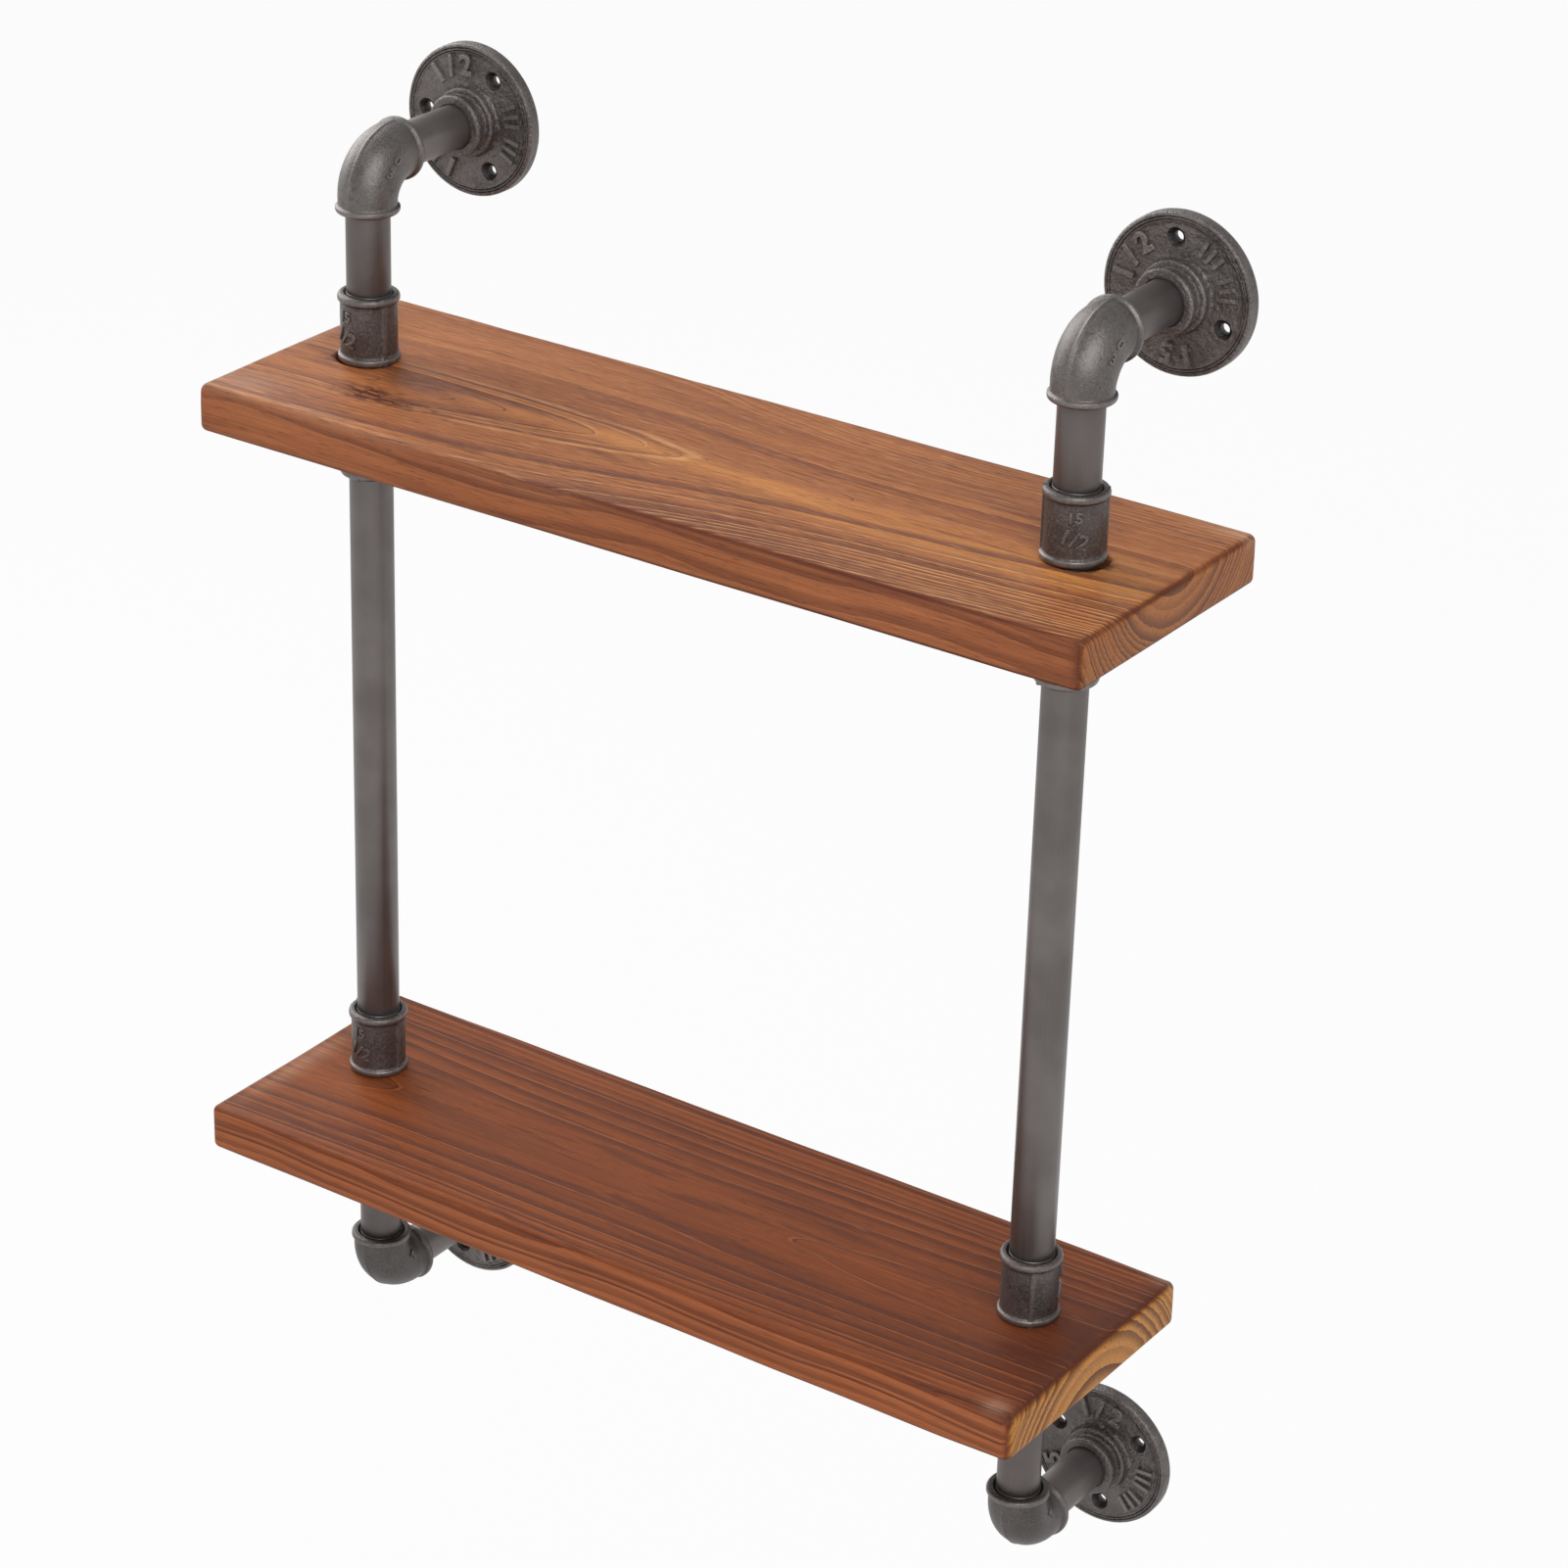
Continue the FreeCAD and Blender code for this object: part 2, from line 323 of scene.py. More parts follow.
def add(tree, kind, inputs=None, **settings):
    """New node with its settings; an input is a value, or a socket to link."""
    item = tree.nodes.new(kind)
    for name, value in settings.items():
        setattr(item, name, value)
    for name, value in (inputs or {}).items():
        if isinstance(value, bpy.types.NodeSocket):
            tree.links.new(value, item.inputs[name])
        else:
            item.inputs[name].default_value = value
    return item


def calc(tree, operation, first, second=0.0, clamp=False):
    """Result of a Math node."""
    item = add(tree, "ShaderNodeMath", {0: first, 1: second}, operation=operation, use_clamp=clamp)
    return item.outputs[0]


def product(tree, *factors):
    """Product of several values."""
    result = factors[0]
    for factor in factors[1:]:
        result = calc(tree, "MULTIPLY", result, factor)
    return result


def blend(tree, factor, first, second, kind="MIX"):
    """Result of mixing two colours."""
    mixer = add(tree, "ShaderNodeMix", {0: factor, 6: first, 7: second}, data_type="RGBA", blend_type=kind)
    return mixer.outputs[2]


def layered(tree, tone, tones, layers):
    """Colour with layers of the named tones over it, each given with its share."""
    for share, name in layers:
        tone = blend(tree, share, tone, tones[name])
    return tone


def ramp(tree, factor, stops):
    """Colour ramp between two (position, colour) stops."""
    item = add(tree, "ShaderNodeValToRGB", {0: factor})
    for element, (position, tone) in zip(item.color_ramp.elements, stops):
        element.position = position
        element.color = tone
    return item.outputs[0]


def spread(tree, value, low, high, new_low=0.0, new_high=1.0):
    """Value carried from one range to another, and held inside it."""
    inputs = {0: value, 1: low, 2: high, 3: new_low, 4: new_high}
    return add(tree, "ShaderNodeMapRange", inputs, interpolation_type="SMOOTHSTEP").outputs[0]


def attribute(tree, name):
    """Value that the mesh holds at each point."""
    return add(tree, "ShaderNodeAttribute", attribute_name=name).outputs["Fac"]


def object_place(tree, scale=(1, 1, 1)):
    """Object coordinates, stretched by a scale for each axis."""
    coordinates = add(tree, "ShaderNodeTexCoord").outputs["Object"]
    return add(tree, "ShaderNodeMapping", {"Vector": coordinates, "Scale": scale}).outputs[0]


def grain_noise(tree, place, scale, detail=2.0, roughness=0.5):
    """Value of a noise texture."""
    inputs = {"Vector": place, "Scale": scale, "Detail": detail, "Roughness": roughness}
    return add(tree, "ShaderNodeTexNoise", inputs).outputs[0]


def curved(tree, value, points):
    """Value carried along straight lines through points from 0 to 1."""
    item = add(tree, "ShaderNodeFloatCurve", {"Value": value})
    line = item.mapping.curves[0]
    line.points[0].location = points[0]
    line.points[1].location = points[-1]
    for place, height in points[1:-1]:
        line.points.new(place, height)
    for point in line.points:
        point.handle_type = "VECTOR"
    item.mapping.update()
    return item.outputs[0]


def relief(tree, heights):
    """Normal of several heights laid on each other: (height, distance of its full range, strength)."""
    normal = None
    for height, distance, strength in heights:
        inputs = {"Height": height, "Distance": distance, "Strength": strength}
        if normal is not None:
            inputs["Normal"] = normal
        normal = add(tree, "ShaderNodeBump", inputs).outputs[0]
    return normal


def new_finish(name):
    """New empty material and its tree."""
    material = bpy.data.materials.new(name)
    material.use_nodes = True
    material.node_tree.nodes.clear()
    return material, material.node_tree


def surface(tree, inputs):
    """Closes a material with a Principled shader."""
    shader = add(tree, "ShaderNodeBsdfPrincipled", inputs)
    add(tree, "ShaderNodeOutputMaterial", {"Surface": shader.outputs[0]})


# Finishes

# Wood tones. The planed tones of the front and back faces and the end grain tones are partly the faces' own
# tone and partly painted light: made lighter to make up for the lamp light that these faces miss.
WOOD_TONES = {
    "upper_shelf": {
        "gold": colour(204, 136, 74), "early": colour(184, 116, 67), "body": colour(168, 103, 60),
        "brown": colour(142, 82, 50), "late": colour(126, 73, 50), "line": colour(88, 47, 31),
        # crest is the pale tone of the painted highlight along the ring ridges, also used for pale pores and
        # dashes
        "crest": colour(216, 160, 106), "end_early": colour(186, 119, 68), "end_late": colour(118, 72, 51),
        "planed": colour(174, 104, 70),
    },
    "lower_shelf": {
        "gold": colour(158, 86, 39), "early": colour(146, 77, 37), "body": colour(134, 70, 35),
        "brown": colour(110, 57, 32), "late": colour(94, 49, 33), "line": colour(72, 37, 26),
        # crest is the pale tone of the painted highlight along the ring ridges, also used for pale pores and
        # dashes
        "crest": colour(166, 98, 54), "end_early": colour(218, 150, 76), "end_late": colour(116, 68, 32),
        "planed": colour(202, 119, 75),
    },
}
# How strongly a board's planed faces show their rings, and its wood the pores and the fine lines
WOOD_SHARES = {"upper_shelf": (0.85, 0.45, 1.0), "lower_shelf": (0.5, 0.25, 0.35)}
MARK_TONES = {"scuff": colour(206, 174, 150), "knot": colour(88, 42, 24), "edge": colour(92, 48, 36)}

# Values that a board's mesh holds at each point
BOARD_VALUES = ("from_pith", "steepness", "figure", "ridge_highlight_and_flame", "warmth",
                "end_grain", "planed", "edge", "knot", "scuff")

# Noises of the wood: cycles per metre along X, Y and Z, detail and roughness
WOOD_NOISES = {
    "fibre": ((14, 900, 900), 3.0, 0.6),
    "hair": ((9, 460, 460), 2.0, 0.5),
    "streak": ((3, 60, 60), 3.0, 0.55),
    "breaks": ((28, 160, 160), 2.0, 0.55),
    "island": ((14, 130, 130), 2.0, 0.5),
    "cloud": ((7, 14, 14), 2.0, 0.5),
    "fleck": ((70, 420, 420), 1.0, 0.5),
    "dash": ((50, 620, 620), 1.0, 0.5),
    "pore": ((120, 1500, 1500), 1.0, 0.5),
    "crack": ((110, 380, 380), 2.0, 0.6),
    "chatter": ((420, 8, 30), 1.0, 0.5),
    "wander": ((16, 240, 240), 1.0, 0.5),
}

# How each mark of the wood shows: the two ends of what it follows, and its share at each, 0 and 1 if
# not given. Gaps and ring widths are in millimetres.
WOOD_LIMITS = {
    "ring_strength": (0.0, 0.8, 0.3, 1.0),
    "broken_line": (0.3, 0.6, 0.35, 1.0),
    "planed_line": (0.0, 1.0, 1.0, 0.12),
    "late_wood": (0.2, 0.8),
    "late_width": (2.0, 7.0, 1.0, 0.0),
    "steep_ring": (0.1, 0.45, 0.3, 1.0),
    "line": (0.2, 0.9, 1.0, 0.0),
    # where the painted ridge highlight lies beside each ring border
    "ridge_highlight_start": (0.1, 0.4),
    "ridge_highlight_end": (0.6, 1.5, 1.0, 0.0),
    "fine_line": (0.15, 1.1, 1.0, 0.0),
    "broken_fine_line": (0.4, 0.62),
    "planed_fine_line": (0.0, 1.0, 1.0, 0.1),
    "wide_ring": (3.5, 6.0),
    "gold_fine_line": (0.2, 0.9, 1.0, 0.3),
    "body": (0.1, 0.9),
    "gold": (0.0, 1.0),
    "broken_gold": (0.3, 0.6, 0.5, 1.0),
    "streak": (0.42, 0.72, 0.0, 0.75),
    "island": (0.6, 0.7, 0.0, 0.6),
    "browner": (0.0, -1.0),
    "end_band": (0.1, 0.9),
    "end_strength": (0.0, 0.8, 0.35, 0.95),
    "hair": (0.6, 0.74, 0.0, 0.4),
    "fleck": (0.68, 0.78, 0.0, 0.5),
    "pore": (0.58, 0.72),
    "pale_pore": (0.42, 0.28, 0.0, 0.5),
    "dash": (0.66, 0.78, 0.0, 0.4),
    "worn_edge": (0.3, 0.65, 0.45, 0.9),
    "cracked_knot": (0.43, 0.56, 0.15, 1.0),
    "scuff": (0.3, 0.7, 0.1, 0.5),
    "roughness": (0.2, 0.8, 0.36, 0.52),
}
WOOD_SHADES = {
    "fibre": ((0.25, (0.75, 0.73, 0.72, 1)), (0.75, (1.17, 1.18, 1.19, 1))),
    "cloud": ((0.3, (0.9, 0.87, 0.85, 1)), (0.7, (1.06, 1.08, 1.08, 1))),
}

# Height and strength of each part of the wood's fine relief
WOOD_BUMPS = {
    "fibre": (0.1 * MM, 0.7),
    "ring": (0.16 * MM, 0.8),
    "chatter": (0.12 * MM, 0.5),
    "knot": (-0.3 * MM, 0.8),
}
noise_middle = 0.5
ring_wander = 1.2
end_wander_share = 0.4
planed_share = 0.65
late_share = 0.85
ring_line_share = 0.8
worn_edge_roughness = 0.35
wood_gloss = 0.16


def ring_place(tree, reach, steepness, rings):
    """Ring number at a distance from the pith, share of that ring and millimetres to its two borders."""
    widths = [b - a for a, b in zip(rings, rings[1:])]
    middles = [(a + b) / 2 for a, b in zip(rings, rings[1:])]
    reach = calc(tree, "DIVIDE", reach, rings[-1])
    growth_line = [(ring / rings[-1], index / len(widths)) for index, ring in enumerate(rings)]
    width_line = [(place / rings[-1], width / max(widths))
                  for place, width in zip([0.0, *middles, rings[-1]], [widths[0], *widths, widths[-1]])]
    growth = calc(tree, "MULTIPLY", curved(tree, reach, growth_line), len(widths))
    width = product(tree, curved(tree, reach, width_line), max(widths))
    width = calc(tree, "DIVIDE", width, steepness)
    share = calc(tree, "FRACT", growth)
    late_gap = calc(tree, "MULTIPLY", calc(tree, "SUBTRACT", 1.0, share), width)
    return growth, share, late_gap, calc(tree, "MULTIPLY", share, width)


def wood_finish(name, tones, trunk, flame_share, pore_share, fine_share):
    """Stained softwood: rings from each point's distance to the pith, fibres along X, scuffs and knots."""
    material, tree = new_finish(name)
    tones = {**tones, **MARK_TONES}
    grain = {key: grain_noise(tree, object_place(tree, stretch), 1.0, detail, roughness)
             for key, (stretch, detail, roughness) in WOOD_NOISES.items()}
    held = {key: attribute(tree, key) for key in BOARD_VALUES}
    planed, steepness, warmth = held["planed"], held["steepness"], held["warmth"]

    def shows(mark, value):
        """Share of a mark for the value that it follows."""
        return spread(tree, value, *WOOD_LIMITS[mark])

    # Rings, their dark lines, the painted highlight along the ridge at each ring's border, and the fine
    # lines between them
    ragged = product(tree, calc(tree, "SUBTRACT", grain["wander"], noise_middle), ring_wander, steepness)
    reach = calc(tree, "ADD", held["from_pith"], ragged)
    growth, share, late_gap, early_gap = ring_place(tree, reach, steepness, trunk.rings)
    fine_gap = ring_place(tree, reach, steepness, trunk.fine_rings)[2]
    tint = add(tree, "ShaderNodeTexWhiteNoise", {"W": calc(tree, "FLOOR", growth)}, noise_dimensions="1D")
    tint = tint.outputs["Value"]
    strength = product(tree, held["figure"], shows("ring_strength", tint))
    sharp = product(tree, strength, shows("broken_line", grain["breaks"]), shows("planed_line", planed))
    flame = product(tree, planed, flame_share, held["ridge_highlight_and_flame"])
    late = product(tree, shows("late_wood", share), shows("late_width", late_gap),
                   calc(tree, "MAXIMUM", strength, flame), shows("steep_ring", steepness))
    line = product(tree, shows("line", late_gap), sharp)
    # Painted highlight along the ridge at each ring's border
    crest = product(tree, shows("ridge_highlight_start", early_gap), shows("ridge_highlight_end", early_gap),
                    sharp, held["ridge_highlight_and_flame"])
    ring_width = calc(tree, "ADD", late_gap, early_gap)
    fine = product(tree, shows("fine_line", fine_gap), fine_share, held["figure"],
                   shows("broken_fine_line", grain["breaks"]), shows("planed_fine_line", planed),
                   shows("wide_ring", ring_width), shows("gold_fine_line", warmth))

    # Tone of the long faces and of the end grain; the planed faces and the end grain are partly painted
    # light
    face = blend(tree, shows("body", tint), tones["early"], tones["body"])
    face = layered(tree, face, tones, (
        (product(tree, shows("gold", warmth), shows("broken_gold", grain["breaks"])), "gold"),
        (shows("streak", grain["streak"]), "brown"),
        (shows("island", grain["island"]), "late"),
        # planed faces: their own tone, partly painted light
        (product(tree, planed, planed_share), "planed"),
        # browner stains, and one painted shadow
        (shows("browner", warmth), "late"),
        (product(tree, late, late_share), "late"),
        (fine, "line"),
        # painted highlight along the ring ridges
        (product(tree, crest, ring_line_share), "crest"),
        (product(tree, line, ring_line_share), "line"),
    ))
    shifted = product(tree, calc(tree, "SUBTRACT", grain["cloud"], noise_middle), end_wander_share)
    end_band = shows("end_band", calc(tree, "ADD", share, shifted))
    end_band = product(tree, end_band, shows("end_strength", tint))
    tone = blend(tree, held["end_grain"], face, blend(tree, end_band, tones["end_early"], tones["end_late"]))

    # Fibres, pores, wear and knots over all of it
    for key, stops in WOOD_SHADES.items():
        tone = blend(tree, 1.0, tone, ramp(tree, grain[key], stops), "MULTIPLY")
    open_grain = calc(tree, "SUBTRACT", 1.0, calc(tree, "MAXIMUM", planed, held["end_grain"]))
    knot = product(tree, held["knot"], shows("cracked_knot", grain["crack"]))
    tone = layered(tree, tone, tones, (
        (shows("hair", grain["hair"]), "line"),
        (product(tree, shows("fleck", grain["fleck"]), open_grain), "line"),
        (product(tree, shows("pore", grain["pore"]), pore_share), "line"),
        (product(tree, shows("pale_pore", grain["pore"]), pore_share, open_grain), "crest"),
        (product(tree, shows("dash", grain["dash"]), open_grain), "crest"),
        (product(tree, held["edge"], shows("worn_edge", grain["cloud"])), "edge"),
        (knot, "knot"),
        (product(tree, held["scuff"], shows("scuff", grain["hair"])), "scuff"),
    ))
    roughness = calc(tree, "ADD", shows("roughness", grain["fibre"]),
                     product(tree, held["edge"], worn_edge_roughness))
    normal = relief(tree, (
        (grain["fibre"], *WOOD_BUMPS["fibre"]),
        (calc(tree, "SUBTRACT", crest, line), *WOOD_BUMPS["ring"]),
        (product(tree, grain["chatter"], planed), *WOOD_BUMPS["chatter"]),
        (knot, *WOOD_BUMPS["knot"]),
    ))
    surface(tree, {"Base Color": tone, "Roughness": roughness, "Specular IOR Level": wood_gloss,
                   "Normal": normal})
    return material


# Pale tone of rubbed iron, partly wear and partly painted highlight on crests and raised figures; dark tone
# of sand specks and pits, also the painted shade in the screw holes
CAST_TONES = {"rub_and_highlight": colour(150, 144, 141), "dark_speck_and_shade": colour(48, 44, 43)}

# Cast irons: dull and bright tone, grains per metre, depth of the grain and metallic share
CAST_IRONS = {
    "coupling_iron": ((colour(86, 79, 77), colour(108, 101, 99)), 900.0, 0.25 * MM, 0.75),
    "elbow_iron": ((colour(96, 91, 89), colour(114, 109, 107)), 1100.0, 0.2 * MM, 0.75),
    # darker copy of the elbow iron for the lower elbows: painted shade under the lower board
    "shaded_low_elbow_iron": ((colour(80, 75, 73), colour(96, 91, 89)), 1100.0, 0.2 * MM, 0.75),
    "flange_iron": ((colour(92, 86, 84), colour(116, 110, 108)), 700.0, 0.85 * MM, 0.65),
}

# Pipe steels: cycles of the drawn lines per metre along X, Y and Z, dull and bright tone
PIPE_STEELS = {
    "upright_pipe_steel": ((900, 900, 7), (colour(104, 98, 96), colour(120, 114, 112))),
    # darker copy of the upright steel for the drop nipples: painted shade next to the elbows
    "shaded_drop_pipe_steel": ((900, 900, 7), (colour(94, 87, 85), colour(108, 101, 99))),
    "arm_pipe_steel": ((900, 7, 900), (colour(104, 98, 96), colour(120, 114, 112))),
}
CAST_LIMITS = {
    "cloud": (0.3, 0.7),
    "rub_highlight": (0.3, 0.65, 0.6, 1.0),
    "bright_sand": (0.5, 0.75, 0.0, 0.35),
    "dark_sand": (0.25, 0.45, 0.4, 0.0),
    "pit": (0.3, 0.42, 0.3, 0.0),
    # mask of the painted shade in the screw holes
    "dark_speck_and_shade": (0.0, -1.0, 0.0, 0.85),
    "roughness": (0.3, 0.7, 0.38, 0.5),
}
PIPE_LIMITS = {"cloud": (0.3, 0.7), "drawn": (0.3, 0.7, 0.0, 0.3), "roughness": (0.25, 0.75, 0.36, 0.46)}
cast_cloud_scale = 45.0
cast_pit_share = 1 / 3
cast_pit_depth_share = 1.5
cast_sand_strength = 0.8
cast_pit_strength = 0.5
rubbed_gloss = 0.08
pipe_cloud_scale = 30.0
pipe_dust_scale = 1500.0
PIPE_BUMPS = {"dust": (0.05 * MM, 0.4), "drawn": (0.04 * MM, 0.5)}
pipe_metallic = 0.8


def cast_finish(name, tones, grain, grain_depth, metallic):
    """Dark sand-cast iron with a satin coat, a little brighter where it is rubbed, partly wear and partly
    painted highlight, with painted shade where that value is below zero.
    """
    material, tree = new_finish(name)
    place = object_place(tree)
    cloud = grain_noise(tree, place, cast_cloud_scale, 3.0)
    sand = grain_noise(tree, place, grain, 2.0, 0.6)
    pits = grain_noise(tree, place, grain * cast_pit_share, 2.0, 0.55)
    rub_and_highlight = attribute(tree, "rub_and_highlight")

    def shows(mark, value):
        """Share of a mark for the value that it follows."""
        return spread(tree, value, *CAST_LIMITS[mark])

    # Rubbed crests and raised figures: partly wear and partly painted highlight
    rub_highlight = product(tree, rub_and_highlight, shows("rub_highlight", pits))
    tone = layered(tree, blend(tree, shows("cloud", cloud), *tones), CAST_TONES, (
        (shows("bright_sand", sand), "rub_and_highlight"),
        (shows("dark_sand", sand), "dark_speck_and_shade"),
        (shows("pit", pits), "dark_speck_and_shade"),
        (rub_highlight, "rub_and_highlight"),
        # painted shade in the screw holes, where the value is below zero
        (shows("dark_speck_and_shade", rub_and_highlight), "dark_speck_and_shade"),
    ))
    roughness = calc(tree, "SUBTRACT", shows("roughness", sand), product(tree, rub_highlight, rubbed_gloss))
    normal = relief(tree, ((sand, grain_depth, cast_sand_strength),
                           (pits, cast_pit_depth_share * grain_depth, cast_pit_strength)))
    surface(tree, {"Base Color": tone, "Metallic": metallic, "Roughness": roughness, "Normal": normal})
    return material


def pipe_finish(name, stretch, tones):
    """Drawn pipe with a smooth satin coat and faint lines along its length."""
    material, tree = new_finish(name)
    drawn = grain_noise(tree, object_place(tree, stretch), 1.0, 3.0, 0.6)
    cloud = grain_noise(tree, object_place(tree), pipe_cloud_scale, 3.0)
    dust = grain_noise(tree, object_place(tree), pipe_dust_scale, 1.0)
    tone = blend(tree, spread(tree, cloud, *PIPE_LIMITS["cloud"]), *tones)
    tone = blend(tree, spread(tree, drawn, *PIPE_LIMITS["drawn"]), tone, tones[1])
    roughness = spread(tree, drawn, *PIPE_LIMITS["roughness"])
    normal = relief(tree, ((dust, *PIPE_BUMPS["dust"]), (drawn, *PIPE_BUMPS["drawn"])))
    surface(tree, {"Base Color": tone, "Metallic": pipe_metallic, "Roughness": roughness, "Normal": normal})
    return material


# Meshes

def add_piece(node, mesh, material):
    """Shown piece that stands for a packed one and rides with it."""
    mesh.materials.clear()
    mesh.materials.append(material)
    piece = bpy.data.objects.new("finished_" + node, mesh)
    bpy.context.scene.collection.objects.link(piece)
    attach(piece, "root")
    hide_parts(node)
    return piece


def mesh_from(shape, name, smooth_angle=35):
    """Mesh of a bmesh, smooth but for its sharp edges."""
    mesh = bpy.data.meshes.new(name)
    bmesh.ops.recalc_face_normals(shape, faces=shape.faces)
    shape.to_mesh(mesh)
    shape.free()
    mesh.shade_smooth()
    mesh.set_sharp_from_angle(angle=math.radians(smooth_angle))
    return mesh


def set_values(mesh, name, values):
    """Stores a value at each point of a mesh."""
    layer = mesh.attributes.new(name, "FLOAT", "POINT")
    layer.data.foreach_set("value", values)


def evaluated_mesh(carrier):
    """Plain mesh of an object with its modifiers applied; the object is removed."""
    graph = bpy.context.evaluated_depsgraph_get()
    mesh = bpy.data.meshes.new_from_object(carrier.evaluated_get(graph))
    bpy.data.objects.remove(carrier)
    return mesh


def carrier_of(name, data):
    """Object in the scene that holds a shape while it is worked on."""
    carrier = bpy.data.objects.new(name, data)
    bpy.context.scene.collection.objects.link(carrier)
    return carrier


def grown(tree, sizes):
    """Mesh that a geometry tree gives for its named sizes."""
    carrier = carrier_of(tree.name, bpy.data.meshes.new(tree.name))
    modifier = carrier.modifiers.new(tree.name, "NODES")
    modifier.node_group = tree
    for socket in tree.interface.items_tree:
        if socket.name in sizes:
            modifier[socket.identifier] = sizes[socket.name]
    return evaluated_mesh(carrier)


def cut(mesh, cutter):
    """Mesh with the cutter's space taken out of it."""
    carrier = carrier_of("uncut", mesh)
    knife = carrier_of("cutter", cutter)
    modifier = carrier.modifiers.new("cut", "BOOLEAN")
    modifier.operation = "DIFFERENCE"
    modifier.solver = "MANIFOLD"
    modifier.object = knife
    result = evaluated_mesh(carrier)
    bpy.data.objects.remove(knife)
    return result


def joined(meshes, name):
    """One mesh of several."""
    shape = bmesh.new()
    for mesh in meshes:
        shape.from_mesh(mesh)
    result = bpy.data.meshes.new(name)
    shape.to_mesh(result)
    shape.free()
    return result


def part_way(value, low, span):
    """Straight rise from 0 at low to 1 a span later."""
    return min(max((value - low) / span, 0.0), 1.0)


def ease(value, low, high):
    """Smooth rise from 0 at low to 1 at high."""
    share = part_way(value, low, high - low)
    return share * share * (3 - 2 * share)


def around(radius, angle, height=0.0):
    """Place at a radius and an angle about Z."""
    return Vector((radius * math.cos(angle), radius * math.sin(angle), height))


def angle_gap(first, second):
    """Angle between two directions."""
    return abs((first - second + math.pi) % FULL_TURN - math.pi)


def bridge(shape, rings, capped=False):
    """Faces between each closed ring of points and the next, with caps on the first and last if asked."""
    for row, after in zip(rings, rings[1:]):
        for index in range(len(row)):
            follow = (index + 1) % len(row)
            shape.faces.new((row[index], row[follow], after[follow], after[index]))
    if capped:
        shape.faces.new(rings[0])
        shape.faces.new(rings[-1])


def ring_angles(count, seams=(), offsets=()):
    """Angles round a section: even ones, and close lines at each seam."""
    margin = max(offsets, default=0) + FULL_TURN / count / 2
    angles = []
    for index in range(count):
        angle = FULL_TURN * index / count
        if all(angle_gap(angle, seam) > margin for seam in seams):
            angles.append(angle)
    for seam in seams:
        for offset in offsets:
            angles += [(seam + side * offset) % FULL_TURN for side in ((-1, 1) if offset else (1,))]
    return sorted(angles)


def arc(centre_r, centre_z, radius, start, end, steps=6):
    """Outline points (r, z) on an arc between two angles in degrees."""
    turns = [math.radians(start + (end - start) * index / steps) for index in range(steps + 1)]
    return [(centre_r + radius * math.cos(turn), centre_z + radius * math.sin(turn)) for turn in turns]


def fall(high_r, low_r, start_z, end_z, steps=6):
    """Outline points of a soft step from one radius to another."""
    points = []
    for index in range(1, steps + 1):
        share = index / steps
        eased = 0.5 - 0.5 * math.cos(math.pi * share)
        points.append((high_r + (low_r - high_r) * eased, start_z + (end_z - start_z) * share))
    return points


def run(radius, start_z, end_z, steps):
    """Outline points along a straight wall, its first point left out."""
    return [(radius, start_z + (end_z - start_z) * index / steps) for index in range(1, steps + 1)]


def turned(outline, angles, reshape=None):
    """Closed shape of an outline turned about Z; reshape moves a point's radius."""
    shape = bmesh.new()
    rows = []
    for angle in angles:
        row = []
        for radius, height in outline:
            reach = reshape(angle, radius) if reshape else radius
            row.append(shape.verts.new(around(reach, angle, height)))
        rows.append(row)
    bridge(shape, rows + rows[:1])
    return shape


def weathered(mesh, place, waves):
    """Moves a casting to its place and gives its skin the small unevenness of sand casting."""
    mesh.transform(place)
    skin = [(point.co.copy(), point.normal.copy()) for point in mesh.vertices]
    for point, (spot, normal) in zip(mesh.vertices, skin):
        sink = sum(depth * (0.5 + 0.5 * noise.noise(spot / size)) for size, depth in waves)
        point.co = spot - normal * sink
    mesh.update()


def raised_number(text, size, proud, weight_share):
    """Mesh of a raised figure, upright in the XY plane and centred on the origin."""
    words = bpy.data.curves.new("figure", "FONT")
    words.body = text
    words.size = size
    words.offset = size * weight_share
    words.extrude = proud * (1 - figure_bevel_share)
    words.bevel_depth = proud * figure_bevel_share
    words.bevel_resolution = 1
    words.align_x = "CENTER"
    words.align_y = "CENTER"
    words.resolution_u = 5
    return evaluated_mesh(carrier_of("figure", words))


def wrapped(mesh, radius, turn, height, lean=0.0):
    """Lays a flat figure on a cylinder about Z, facing the given turn from -Y towards +X."""
    mesh.transform(Matrix.Rotation(lean, 4, "Z"))
    for point in mesh.vertices:
        along, up, out = point.co
        angle = turn + along / radius - QUARTER_TURN
        point.co = around(radius + out, angle, height + up)
    mesh.update()
    return mesh


def cast_piece(node, mesh, material):
    """Shown casting, its edges sharp where they are."""
    mesh.set_sharp_from_angle(angle=math.radians(cast_sharp_angle))
    add_piece(node, mesh, material)


# Geometry trees

def new_geometry_tree(name, inputs, output):
    """New geometry tree, and the sockets that give the values of its named inputs."""
    tree = bpy.data.node_groups.new(name, "GeometryNodeTree")
    for label, kind in inputs.items():
        tree.interface.new_socket(label, in_out="INPUT", socket_type="NodeSocket" + kind)
    tree.interface.new_socket(output, in_out="OUTPUT", socket_type="NodeSocketGeometry")
    return tree, add(tree, "NodeGroupInput").outputs


def lifted(tree, geometry, height, turn=(0, 0, 0)):
    """Geometry turned, and raised along Z."""
    rise = add(tree, "ShaderNodeCombineXYZ", {"Z": height}).outputs[0]
    inputs = {"Geometry": geometry.outputs[0], "Translation": rise, "Rotation": turn}
    return add(tree, "GeometryNodeTransform", inputs)


